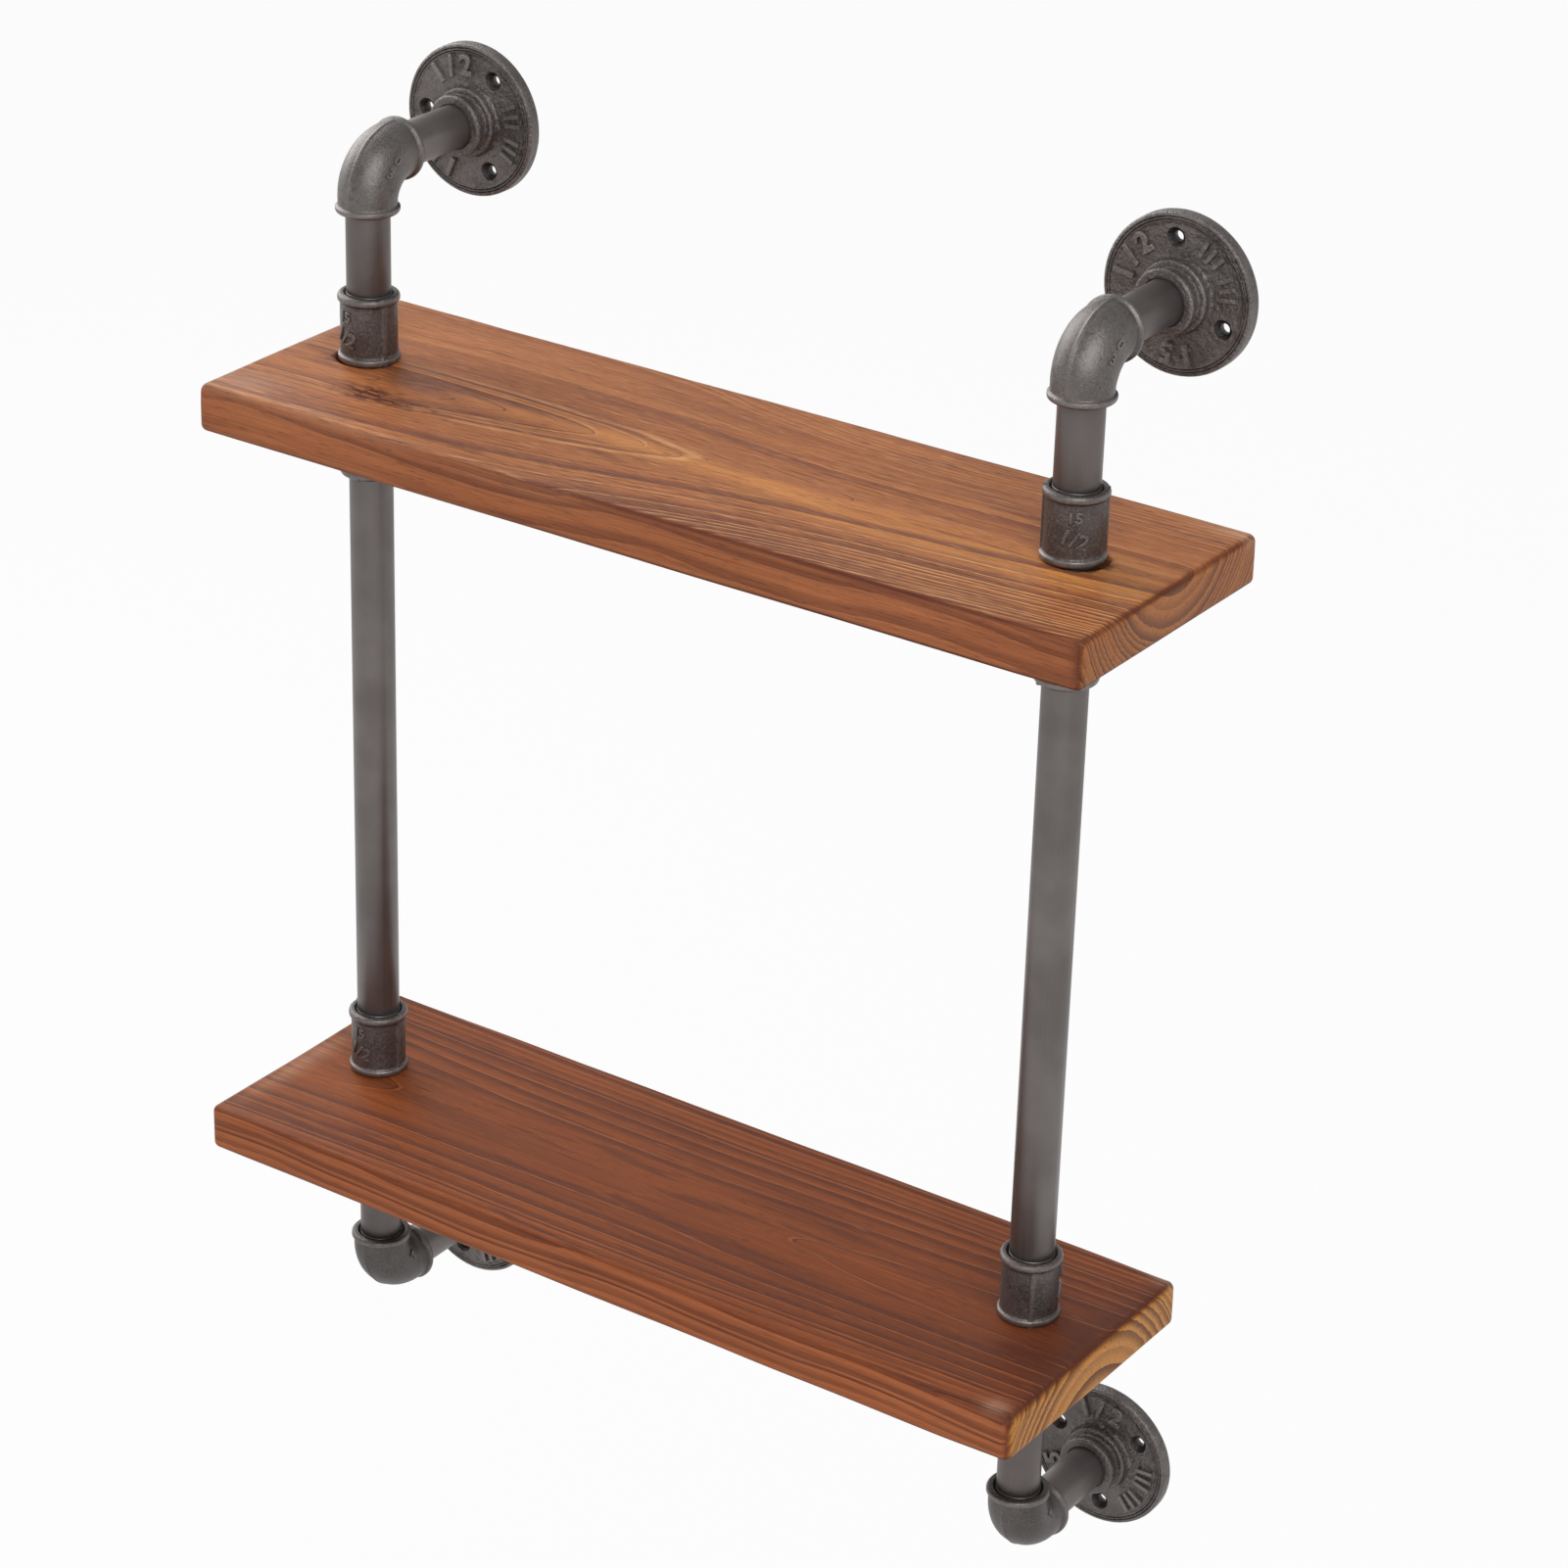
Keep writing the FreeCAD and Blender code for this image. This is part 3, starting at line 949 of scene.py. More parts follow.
def close_tree(tree, geometry, material, output):
    """Ends a geometry tree with real geometry in its finish."""
    real = add(tree, "GeometryNodeRealizeInstances", {"Geometry": geometry.outputs[0]})
    dressed = add(tree, "GeometryNodeSetMaterial", {"Geometry": real.outputs[0], "Material": material})
    add(tree, "NodeGroupOutput", {output: dressed.outputs[0]})


# Pipes

def threaded_pipe_tree():
    """Geometry tree of a pipe along Z: its wall, and the thread that shows at each fitting's mouth."""
    sizes = ("Length", "Radius", "Wall", "Chamfer", "Thread start", "Thread pitch", "Thread height")
    inputs = {**{name: "Float" for name in sizes}, "Finish": "Material"}
    tree, given = new_geometry_tree("threaded_pipe", inputs, "Pipe")
    block = add(tree, "GeometryNodeCurvePrimitiveQuadrilateral", {
        "Width": given["Wall"], "Height": given["Length"]})
    section = add(tree, "GeometryNodeFilletCurve", {
        "Curve": block.outputs[0], "Count": 2, "Radius": given["Chamfer"]}, mode="POLY")
    path = add(tree, "GeometryNodeCurvePrimitiveCircle", {
        "Resolution": pipe_sides,
        "Radius": calc(tree, "SUBTRACT", given["Radius"], product(tree, given["Wall"], 0.5))})
    wall = add(tree, "GeometryNodeCurveToMesh", {
        "Curve": path.outputs[0], "Profile Curve": section.outputs[0]})
    spiral = add(tree, "GeometryNodeCurveSpiral", {
        "Resolution": thread_steps, "Rotations": thread_turns, "Start Radius": given["Radius"],
        "End Radius": given["Radius"], "Height": product(tree, given["Thread pitch"], thread_turns)})
    ridge = add(tree, "GeometryNodeCurvePrimitiveCircle", {
        "Resolution": thread_sides, "Radius": given["Thread height"]})
    along = add(tree, "GeometryNodeSplineParameter").outputs["Factor"]
    fade = calc(tree, "MULTIPLY", calc(tree, "SUBTRACT", 1.0, along), 1 / thread_fade_share, clamp=True)
    thread = add(tree, "GeometryNodeCurveToMesh", {
        "Curve": spiral.outputs[0], "Profile Curve": ridge.outputs[0], "Scale": fade, "Fill Caps": True})
    far_seat = calc(tree, "SUBTRACT", given["Length"], given["Thread start"])
    whole = add(tree, "GeometryNodeJoinGeometry")
    for part in (lifted(tree, wall, product(tree, given["Length"], 0.5)),
                 lifted(tree, thread, given["Thread start"]),
                 lifted(tree, thread, far_seat, (math.pi, 0, 0))):
        tree.links.new(part.outputs[0], whole.inputs[0])
    smooth = add(tree, "GeometryNodeSetShadeSmooth", {"Geometry": whole.outputs[0]})
    close_tree(tree, smooth, given["Finish"], "Pipe")
    return tree


def pipe(node, tree, material):
    """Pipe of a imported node, along Z or, in the arms, along Y."""
    low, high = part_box(node)
    size = high - low
    upright = size.z > size.y
    mesh = grown(tree, {
        "Length": size.z if upright else size.y, "Radius": pipe_radius, "Wall": pipe_wall,
        "Chamfer": pipe_chamfer, "Thread start": thread_engagement - thread_hidden,
        "Thread pitch": thread_pitch, "Thread height": thread_height, "Finish": material})
    spot = middle(node)
    if upright:
        mesh.transform(Matrix.Translation((spot.x, spot.y, low.z)))
    else:
        mesh.transform(Matrix.Translation((spot.x, low.y, spot.z)) @ Matrix.Rotation(-QUARTER_TURN, 4, "X"))
    mesh.set_sharp_from_angle(angle=math.radians(pipe_sharp_angle))
    add_piece(node, mesh, material)


# Couplings

def coupling_outline():
    """Closed outline of a coupling: rounded beads at both mouths, a straight body and the socket."""
    body = coupling_crest - coupling_bead_proud
    wide = coupling_bead_width - coupling_bead_fall
    top = coupling_length
    lip = coupling_bead_round
    outline = [(mouth_radius, 0)] + arc(coupling_crest - lip, lip, lip, -90, 0)
    outline += run(coupling_crest, lip, wide, 2)
    outline += fall(coupling_crest, body, wide, coupling_bead_width)
    outline += run(body, coupling_bead_width, top - coupling_bead_width, 20)
    outline += fall(body, coupling_crest, top - coupling_bead_width, top - wide)
    outline += run(coupling_crest, top - wide, top - lip, 2)
    outline += arc(coupling_crest - lip, top - lip, lip, 0, 90)[1:]
    outline += [(mouth_radius, top), (socket_radius, top - mouth_flare_depth)]
    outline += run(socket_radius, top - mouth_flare_depth, mouth_flare_depth, 3)
    return outline


def coupling(node, material):
    """Coupling with two casting ribs, a small step between its mould halves and raised size marks."""
    body = coupling_crest - coupling_bead_proud
    rib_turn = math.radians(COUPLING_RIB_TURNS[node]) - QUARTER_TURN
    seams = (rib_turn % FULL_TURN, (rib_turn + math.pi) % FULL_TURN)
    rib_foot = coupling_rib_width / 2 + coupling_rib_foot

    def reshape(angle, radius):
        """Radius with the ribs and the step of the mould, outside the socket."""
        if radius < mouth_radius + coupling_skin_start:
            return radius
        gap = min(angle_gap(angle, seam) for seam in seams) * body
        rise = part_way(rib_foot - gap, 0, coupling_rib_slope)
        proud = max(body + coupling_rib_proud - radius, 0.0) * rise
        step = coupling_shell_step if math.sin(angle - rib_turn) > 0 else 0.0
        return radius + proud - step

    offsets = [gap / body for gap in (0, rib_foot - coupling_rib_slope, rib_foot)]
    angles = ring_angles(coupling_sides, seams, offsets)
    meshes = [mesh_from(turned(coupling_outline(), angles, reshape), node, cast_sharp_angle)]
    turn = math.radians(COUPLING_MARK_TURNS[node])
    for text, size_share, height_share, lean in COUPLING_MARKS:
        mark = raised_number(text, coupling_mark_size * size_share, coupling_mark_proud, thin_figure_share)
        height = coupling_length * height_share
        meshes.append(wrapped(mark, body - coupling_shell_step, turn, height, math.radians(lean)))
    mesh = joined(meshes, node)
    spot = middle(node)
    weathered(mesh, Matrix.Translation((spot.x, spot.y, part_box(node)[0].z)), CAST_WAVES)
    # Lighter bead crests, ribs and marks: partly wear and partly painted highlight
    rub_and_highlight = []
    for point in mesh.vertices:
        away = point.co - spot
        crest = part_way(away.xy.length - body, *coupling_rub_zone)
        top_bead = away.z > coupling_length / 2 - coupling_bead_width
        rub_and_highlight.append(crest * (coupling_top_rub_highlight if top_bead else coupling_rub_highlight))
    set_values(mesh, "rub_and_highlight", rub_and_highlight)
    cast_piece(node, mesh, material)


# Elbows

def elbow_mouth():
    """Outline (radius, distance from the mouth) of the bead at each mouth of an elbow."""
    wide = elbow_bead_width - elbow_bead_fall
    lip = elbow_bead_round
    bead = arc(elbow_crest - lip, lip, lip, -90, 0) + run(elbow_crest, lip, wide, 2)
    return bead + fall(elbow_crest, elbow_body, wide, elbow_bead_width)


def bend_outward(turn):
    """Direction to the outside of an elbow's bend, at a turn along it."""
    return Vector((0, -math.cos(turn), math.sin(turn)))


def elbow_place(distance, leg=None):
    """Middle of an elbow's section at a distance along it, and the direction to the outside of the bend.

    The section lies on one straight leg, low or rear, when that is given."""
    if leg == "low" or (leg is None and distance <= elbow_leg):
        return Vector((0, 0, distance - elbow_reach)), Vector((0, -1, 0))
    if leg == "rear" or distance >= elbow_path - elbow_leg:
        return Vector((0, elbow_reach - (elbow_path - distance), 0)), Vector((0, 0, 1))
    outward = bend_outward((distance - elbow_leg) / elbow_bend)
    return elbow_pivot + outward * elbow_bend, outward


def elbow_shell(name):
    """Mesh of an elbow: a bead at each mouth, a full bend with a parting seam, and blind sockets."""
    half_seam = elbow_seam_width / 2
    seam_foot = half_seam * elbow_seam_foot_share
    offsets = [gap / elbow_body for gap in (0, half_seam * elbow_seam_crown_share, seam_foot)]
    angles = ring_angles(elbow_sides, (0.0, math.pi), offsets)
    shape = bmesh.new()

    def ring(distance, radius, leg=None):
        """Ring of points across the elbow, with the seam between its beads."""
        spot, outward = elbow_place(distance, leg)
        seamed = leg is None and elbow_bead_width <= distance <= elbow_path - elbow_bead_width
        points = []
        for angle in angles:
            reach = radius
            if seamed:
                gap = abs((angle + QUARTER_TURN) % math.pi - QUARTER_TURN) * elbow_body
                reach += elbow_seam_proud * max(1 - gap / seam_foot, 0.0)
            direction = outward * math.cos(angle) + Vector((1, 0, 0)) * math.sin(angle)
            points.append(shape.verts.new(spot + direction * reach))
        return points

    mouth = elbow_mouth()
    socket = ((socket_depth, socket_radius), (mouth_flare_depth, socket_radius), (0, mouth_radius))
    rings = [ring(depth, radius, "low") for depth, radius in socket]
    rings += [ring(distance, radius) for radius, distance in mouth]
    for index in range(1, elbow_steps):
        share = index / elbow_steps
        distance = elbow_bead_width + (elbow_path - 2 * elbow_bead_width) * share
        rings.append(ring(distance, elbow_body + elbow_swell * math.sin(math.pi * share)))
    rings += [ring(elbow_path - distance, radius) for radius, distance in reversed(mouth)]
    rings += [ring(elbow_path - depth, radius, "rear") for depth, radius in reversed(socket)]
    bridge(shape, rings, capped=True)
    return mesh_from(shape, name, cast_sharp_angle)


def elbow_figure(text, bend_share, side):
    """Raised figure on one side of an elbow's bend."""
    figure = raised_number(text, elbow_mark_size, elbow_mark_proud, bold_figure_share)
    outward = bend_outward(QUARTER_TURN * bend_share)
    sideways = Vector((side, 0, 0))
    face = sideways * math.cos(elbow_mark_tilt) - outward * math.sin(side * elbow_mark_tilt)
    up = outward.cross(sideways)
    basis = Matrix((up.cross(face), up, face)).transposed().to_4x4()
    seat = elbow_pivot + outward * elbow_bend + face * (elbow_body + elbow_swell * elbow_mark_seat_share)
    figure.transform(Matrix.Translation(seat) @ basis)
    # Rubbed figure: partly wear and partly painted highlight
    set_values(figure, "rub_and_highlight", [elbow_mark_rub_highlight] * len(figure.vertices))
    return figure


def elbow(node, material):
    """Elbow in its place, with small raised figures and rubbed beads, partly wear and partly painted
    highlight.
    """
    mesh = elbow_shell(node)
    rub_and_highlight = []
    for point in mesh.vertices:
        x, y, z = point.co
        low_reach = math.hypot(x, y) if z < -elbow_bend - elbow_rub_start else 0.0
        rear_reach = math.hypot(x, z) if y > elbow_bend + elbow_rub_start else 0.0
        rub_and_highlight.append(elbow_rub_highlight * part_way(max(low_reach, rear_reach) - elbow_body, *elbow_rub_zone))
    set_values(mesh, "rub_and_highlight", rub_and_highlight)
    mesh = joined([mesh] + [elbow_figure(*number) for number in ELBOW_NUMBERS], node)
    low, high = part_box(node)
    upper = node.startswith("upper")
    height = low.z + elbow_reach if upper else high.z - elbow_reach
    place = Matrix.Translation((middle(node).x, pipe_line_y, height))
    weathered(mesh, place @ Matrix.Rotation(0 if upper else math.pi, 4, "Y"), CAST_WAVES)
    mesh.shade_smooth()
    cast_piece(node, mesh, material)


# Flanges

def flange_outline():
    """Closed outline of a flange about Z, its back at z = 0 and its hub upwards."""
    shoulder = flange_face + hub_collar_height - hub_collar_round
    collar_top = shoulder + hub_collar_round
    neck_top = flange_height - hub_bead_width
    bead_start = neck_top + hub_bead_fall
    rim_inner = flange_radius - flange_rim_width
    face_outer = rim_inner - flange_rim_fall
    face_inner = hub_collar_radius + hub_collar_foot
    edge_centre = flange_radius - flange_edge_round
    edge_start = flange_edge - flange_edge_round
    outline = [(socket_radius, 0)]
    outline += [(flange_radius - flange_back_break, 0), (flange_radius, flange_back_break)]
    outline += run(flange_radius, flange_back_break, edge_start, 3)
    outline += arc(edge_centre, edge_start, flange_edge_round, 0, 75)[1:]
    for inset in flange_rim_lines:
        line = flange_radius - inset
        outline += [(line + flange_rim_line_half, flange_edge), (line, flange_edge - flange_rim_groove),
                    (line - flange_rim_line_half, flange_edge)]
    outline += fall(rim_inner, face_outer, flange_edge, flange_face, 3)
    outline += [(face_outer + (face_inner - face_outer) * index / flange_face_steps, flange_face)
                for index in range(1, flange_face_steps + 1)]
    outline += run(hub_collar_radius, flange_face, shoulder, 3)
    outline += arc(hub_collar_radius - hub_collar_round, shoulder, hub_collar_round, 0, 90, 5)[1:]
    outline += [(hub_neck + hub_neck_fillet, collar_top), (hub_neck, collar_top + hub_neck_rise)]
    outline += run(hub_neck, collar_top + hub_neck_rise, neck_top, 3)
    outline += fall(hub_neck, hub_crest, neck_top, bead_start, 5)
    outline += run(hub_crest, bead_start, flange_height - hub_bead_round, 2)
    outline += arc(hub_crest - hub_bead_round, flange_height - hub_bead_round, hub_bead_round, 0, 90)[1:]
    outline += [(hub_mouth, flange_height), (socket_radius, flange_height - mouth_flare_depth)]
    outline += run(socket_radius, flange_height - mouth_flare_depth, 0, 3)[:-1]
    return outline


def hole_turns(turn):
    """Angles of a flange's screw holes from the first one's."""
    return [turn + FULL_TURN * index / bolt_holes for index in range(bolt_holes)]


def screw_cutter(turn):
    """Space of the countersunk screw holes."""
    hole = bolt_hole_radius - bolt_hole_coat
    outline = (
        (hole, -cut_overrun),
        (hole, flange_face - bolt_sink_depth),
        (bolt_sink_radius, flange_face - bolt_sink_break),
        (bolt_sink_radius + bolt_sink_break, flange_face),
        (bolt_sink_radius + bolt_sink_spread, flange_face + cut_overrun),
    )
    angles = ring_angles(bolt_hole_sides)
    shape = bmesh.new()
    for hole_turn in hole_turns(turn):
        spot = around(bolt_circle_radius, hole_turn)
        rings = [[shape.verts.new(spot + around(radius, angle, height)) for angle in angles]
                 for radius, height in outline]
        bridge(shape, rings, capped=True)
    return mesh_from(shape, "screw_holes")


def mark_ring_tree():
    """Geometry tree of short raised bars set along an arc about Z."""
    inputs = {**{name: "Float" for name in ("Radius", "Start", "Sweep", "Height")},
              "Count": "Int", "Bar": "Vector", "Finish": "Material"}
    tree, given = new_geometry_tree("raised_bars", inputs, "Bars")
    line = add(tree, "GeometryNodeCurveArc", {
        "Resolution": flange_bar_arc_steps, "Radius": given["Radius"],
        "Start Angle": given["Start"], "Sweep Angle": given["Sweep"]})
    spots = add(tree, "GeometryNodeCurveToPoints", {"Curve": line.outputs[0], "Count": given["Count"]})
    facing = add(tree, "FunctionNodeAlignRotationToVector", {"Vector": spots.outputs["Tangent"]}, axis="X")
    bar = add(tree, "GeometryNodeMeshCube", {
        "Size": given["Bar"], "Vertices X": 2, "Vertices Y": 2, "Vertices Z": 2})
    bars = add(tree, "GeometryNodeInstanceOnPoints", {
        "Points": spots.outputs["Points"], "Instance": bar.outputs[0], "Rotation": facing.outputs[0]})
    close_tree(tree, lifted(tree, bars, given["Height"]), given["Finish"], "Bars")
    return tree


def flange_rub_and_shade(reach, out, to_hole):
    """How rubbed a flange is at a distance from its axis, back and nearest screw hole, partly wear and
    partly painted highlight, and -1 for the painted shade in each countersunk hole.
    """
    # Painted shade in the countersunk screw holes
    if to_hole < bolt_sink_radius + hole_shade_margin and hole_shade_start < out < flange_face - hole_shade_end:
        return -1.0
    bead = part_way(reach - hub_radius, *hub_rub_zone) if out > hub_rub_start else 0.0
    rim = part_way(reach - flange_radius, *rim_rub_zone) if out > rim_rub_start else 0.0
    marked = out > flange_face + mark_rub_start and reach > hub_radius + mark_rub_gap
    return max(hub_rub_highlight * bead, rim_rub_highlight * rim, mark_rub_highlight if marked else 0.0)


def flange(node, material, bars_tree):
    """Wall flange: ringed rim, rough face, three countersunk holes, stepped hub and plain raised figures."""
    turn = math.radians(FLANGE_TURNS[node])
    third = FULL_TURN / bolt_holes
    blank = mesh_from(turned(flange_outline(), ring_angles(flange_sides)), node, cast_sharp_angle)
    meshes = [cut(blank, screw_cutter(turn))]
    for text, share in FLANGE_NUMBERS:
        figure = raised_number(text, flange_mark_size, flange_mark_proud, bold_figure_share)
        angle = turn + third * share
        seat = Matrix.Translation(around(flange_mark_circle, angle, flange_face))
        figure.transform(seat @ Matrix.Rotation(angle - QUARTER_TURN, 4, "Z"))
        meshes.append(figure)
    for share in FLANGE_BAR_SHARES:
        meshes.append(grown(bars_tree, {
            "Radius": flange_mark_circle, "Start": turn + third * share,
            "Sweep": third * flange_bar_sweep_share, "Height": flange_face,
            "Count": flange_bars, "Finish": material,
            "Bar": (flange_bar_width, flange_bar_length, 2 * flange_mark_proud)}))
    mesh = joined(meshes, node)
    mesh.update()
    centre = middle(node)
    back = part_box(node)[1].y
    place = Matrix.Translation((centre.x, back, centre.z)) @ Matrix.Rotation(QUARTER_TURN, 4, "X")
    weathered(mesh, place, CAST_WAVES)
    holes = [around(bolt_circle_radius, angle).xy for angle in hole_turns(turn)]
    facing = [point.normal.y for point in mesh.vertices]
    rub_and_highlight = []
    for point, toward in zip(mesh.vertices, facing):
        away = Vector((point.co.x - centre.x, point.co.z - centre.z))
        reach = away.length
        if toward < flange_face_facing and hub_collar_radius < reach < flange_radius - flange_rim_width:
            point.co.y += flange_sand_depth * noise.noise(point.co / flange_sand_size)
        point.co.y = min(point.co.y, back)
        rub_and_highlight.append(flange_rub_and_shade(reach, back - point.co.y, min((away - hole).length for hole in holes)))
    set_values(mesh, "rub_and_highlight", rub_and_highlight)
    mesh.shade_smooth()
    cast_piece(node, mesh, material)


# Boards

def smooth_between(stations, along):
    """Values at a place along the board, on a smooth curve through the stations."""
    last = len(stations) - 2
    index = min(max(bisect.bisect([station[0] for station in stations], along) - 1, 0), last)
    before, here = stations[max(index - 1, 0)], stations[index]
    there, after = stations[index + 1], stations[min(index + 2, last + 1)]
    span = there[0] - here[0]
    share = (along - here[0]) / span
    values = []
    for channel in range(1, len(here)):
        slope_here = (there[channel] - before[channel]) / (there[0] - before[0]) * span
        slope_there = (after[channel] - here[channel]) / (after[0] - here[0]) * span
        square, cube = share ** 2, share ** 3
        values.append(here[channel] * (2 * cube - 3 * square + 1) + slope_here * (cube - 2 * square + share)
                      + there[channel] * (3 * square - 2 * cube) + slope_there * (cube - square))
    return values


def rippled(place, sizes):
    """Noise at a place, its waves of the given sizes along each axis."""
    return noise.noise(Vector([value / size for value, size in zip(place, sizes)]))


class Trunk:
    """Growth rings of the tree that a board was sawn from.

    Places are in millimetres from the board's left end, front edge and top face. A station is
    (place along, pith behind the front edge, pith above the top face, flattening of the rings). The flame
    of the front and back faces is (distance from the pith at their top, rise per millimetre down, sway)."""

    def __init__(self, stations, inner_rings, ring_groups, knots, flame, seed):
        self.stations = stations
        self.flame = flame
        self.sections = {}
        self.knots = knots
        self.rings = [0.0, *inner_rings]
        draw = random.Random(seed)
        for ring_count, ring_width in ring_groups:
            for index in range(ring_count):
                self.rings.append(self.rings[-1] + ring_width * draw.uniform(*ring_width_shares))
        self.fine_rings = [0.0]
        while self.fine_rings[-1] < self.rings[-1]:
            self.fine_rings.append(self.fine_rings[-1] + draw.uniform(*fine_ring_widths))

    def section(self, along):
        """Pith and flattening of the rings at a place along the board."""
        key = round(along, 1)
        if key not in self.sections:
            self.sections[key] = smooth_between(self.stations, key)
        return self.sections[key]

    def from_pith(self, along, back, up):
        """Distance from the pith."""
        pith_back, pith_up, flattening = self.section(along)
        return math.hypot(flattening * (back - pith_back), up - pith_up)

    def reach(self, place, normal):
        """Distance of a surface place from the pith, and its slope on the surface."""
        along, back, up = place
        if abs(normal.y) > planed_facing:
            start, rise, sway = self.flame
            waves = rippled((along, back, flame_wave_place), flame_wave)
            waves += flame_ripple_share * rippled(place, flame_ripple)
            return start - rise * up + sway * waves, Vector((0.0, 0.0, rise))
        slope = []
        for axis, step in enumerate(slope_steps):
            ahead, behind = list(place), list(place)
            ahead[axis] += step
            behind[axis] -= step
            slope.append((self.from_pith(*ahead) - self.from_pith(*behind)) / (2 * step))
        slope = Vector(slope)
        slope -= normal * slope.dot(normal)
        reach = self.from_pith(*place)
        for height, sizes in RING_WAVES:
            reach += height * rippled(place, sizes)
        for spot_along, spot_back, long, wide, pull in self.knots:
            reach += pull * math.exp(-((along - spot_along) / long) ** 2 - ((back - spot_back) / wide) ** 2)
        return reach, slope

    def ring_border(self, reach):
        """Distance from a place to the nearest border of its ring."""
        index = bisect.bisect(self.rings, reach)
        return min(reach - self.rings[index - 1], self.rings[index] - reach)


TRUNKS = {
    "upper_shelf": Trunk(
        stations=(
            (0, 54, 4, 0.58),
            (98, 59, 8, 0.55),
            (191, 63.5, 12, 0.62),
            (231, 65, 14.5, 0.72),
            (320, 70, 19.5, 0.9),
            (400, 75, 21.5, 0.93),
            (484, 80, 24, 0.95),
        ),
        inner_rings=(12.0, 13.2, 14.5, 29.0, 35.0, 43.0, 49.0),
        ring_groups=((11, 2.5), (4, 6.5), (3, 5.0)),
        knots=((78, 38, 24, 9, -3.0),),
        flame=(81.0, 0.7, 5.0),
        seed=11),
    "lower_shelf": Trunk(
        stations=(
            (0, 69, -59, 0.9),
            (120, 69, -61.5, 0.9),
            (237, 69, -62, 0.9),
            (313, 70, -60.5, 0.92),
            (474, 75, -58, 1.0),
        ),
        inner_rings=(12.0, 24.0, 35.0, 45.0, 53.0, 60.6, 66.0),
        ring_groups=((18, 3.2),),
        knots=(),
        flame=(74.0, 0.6, 2.5),
        seed=23),
}

# Spots on the boards, in millimetres: (along, behind the front edge, above the top face), their half sizes,
# and a strength. A stain is warmer (+) or browner (-) there; one browner spot is a painted shadow.
KNOTS = {
    "upper_shelf": (
        ((90, 38, 0), (26, 6, 6), 0.9),
        ((68, 40, 0), (13, 9, 6), 1.1),
        ((27, 66, 0), (5, 4, 5), 1.2),
    ),
    "lower_shelf": (),
}
SCUFFS = {
    "upper_shelf": (
        ((478, 144, 0), (16, 6, 5), 1.0),
        ((2, 100, -2), (5, 40, 5), 1.0),
        ((16, 16, 0), (22, 12, 5), 0.9),
        ((90, 3, -2), (60, 5, 5), 0.25),
        ((190, 1, -4), (40, 4, 5), 0.2),
    ),
    "lower_shelf": (
        ((462, 7, 0), (6, 5, 5), 1.0),
        ((470, 147, 0), (8, 5, 5), 1.0),
        ((8, 60, 0), (6, 40, 5), 0.8),
    ),
}
STAINS_AND_SHADOWS = {
    "upper_shelf": (
        ((350, 56, 0), (130, 18, 9), 1.0),
        ((190, 64, 0), (60, 9, 9), 0.6),
        ((455, 75, 0), (30, 22, 9), 0.9),
        ((330, 6, 0), (190, 12, 7), -0.8),
        ((300, 73, 0), (45, 4, 9), -0.6),
        # painted shadow of the upper board's left coupling, browner to its right
        ((84, 64, 0), (24, 9, 9), -1.0),
        ((340, 62, 0), (34, 3, 9), -0.6),
        ((484, 0, -12), (5, 5, 14), -1.0),
    ),
    "lower_shelf": (
        ((20, 75, 0), (110, 90, 30), 0.5),
        ((465, 80, 0), (70, 60, 9), -0.7),
        ((452, 50, 0), (16, 8, 9), -0.8),
        ((200, 12, 0), (200, 16, 9), 0.4),
        ((474, 75, 0), (8, 90, 6), -1.0),
    ),
}

# Extra wear of the front right corner, of the top of the right end and of the left of the front edge
WORN_EDGES = {"upper_shelf": (0.5 * MM, 0.4 * MM, 0.8 * MM), "lower_shelf": (1.5 * MM, 0.5 * MM, 0.0)}
RELIEF = {"upper_shelf": 0.22 * MM, "lower_shelf": 0.1 * MM}


def spotted(spots, place):
    """Sum of the soft spots at a place."""
    total = 0.0
    for centre, half, strength in spots:
        total += strength * math.exp(-sum(((a - b) / c) ** 2 for a, b, c in zip(place, centre, half)))
    return total


def figure_strength(node, along, back):
    """How strongly the rings show: on the upper board they fade towards its back and left end."""
    if node == "lower_shelf":
        return lower_figure
    return (1 - back_fade_share * ease(back, *back_fade)) * (1 - left_fade_share * ease(along, *left_fade))


def edge_strength(node, along):
    """How dark the worn edges are: on the upper board they darken towards the right."""
    if node == "lower_shelf":
        return lower_edge
    return upper_left_edge + (1 - upper_left_edge) * ease(along, *edge_rise)


def highlight_and_flame_strength(node, along):
    """How strongly the painted highlight along the ring ridges shows, and the ring figure of the planed
    faces: on the upper board it is dull at its left end.
    """
    if node == "lower_shelf":
        return lower_highlight_strength
    return upper_left_highlight_strength + (1 - upper_left_highlight_strength) * ease(along, *highlight_rise)


def grid_lines(low, high, step):
    """Places of the mesh lines across a board: even steps, with close lines in the rounding of each edge."""
    zone = board_edge_zone
    close = [zone * index / board_edge_lines for index in range(board_edge_lines)]
    count = math.ceil((high - low - 2 * zone) / step)
    even = [low + zone + (high - low - 2 * zone) * index / count for index in range(count + 1)]
    return [low + gap for gap in close] + even + [high - gap for gap in reversed(close)]


def rounded_point(point, low, high, radius):
    """Point of a box moved on to the rounding of its edges."""
    core = Vector([min(max(value, a + radius), b - radius) for value, a, b in zip(point, low, high)])
    away = point - core
    return core + away.normalized() * radius if away.length > 0 else point


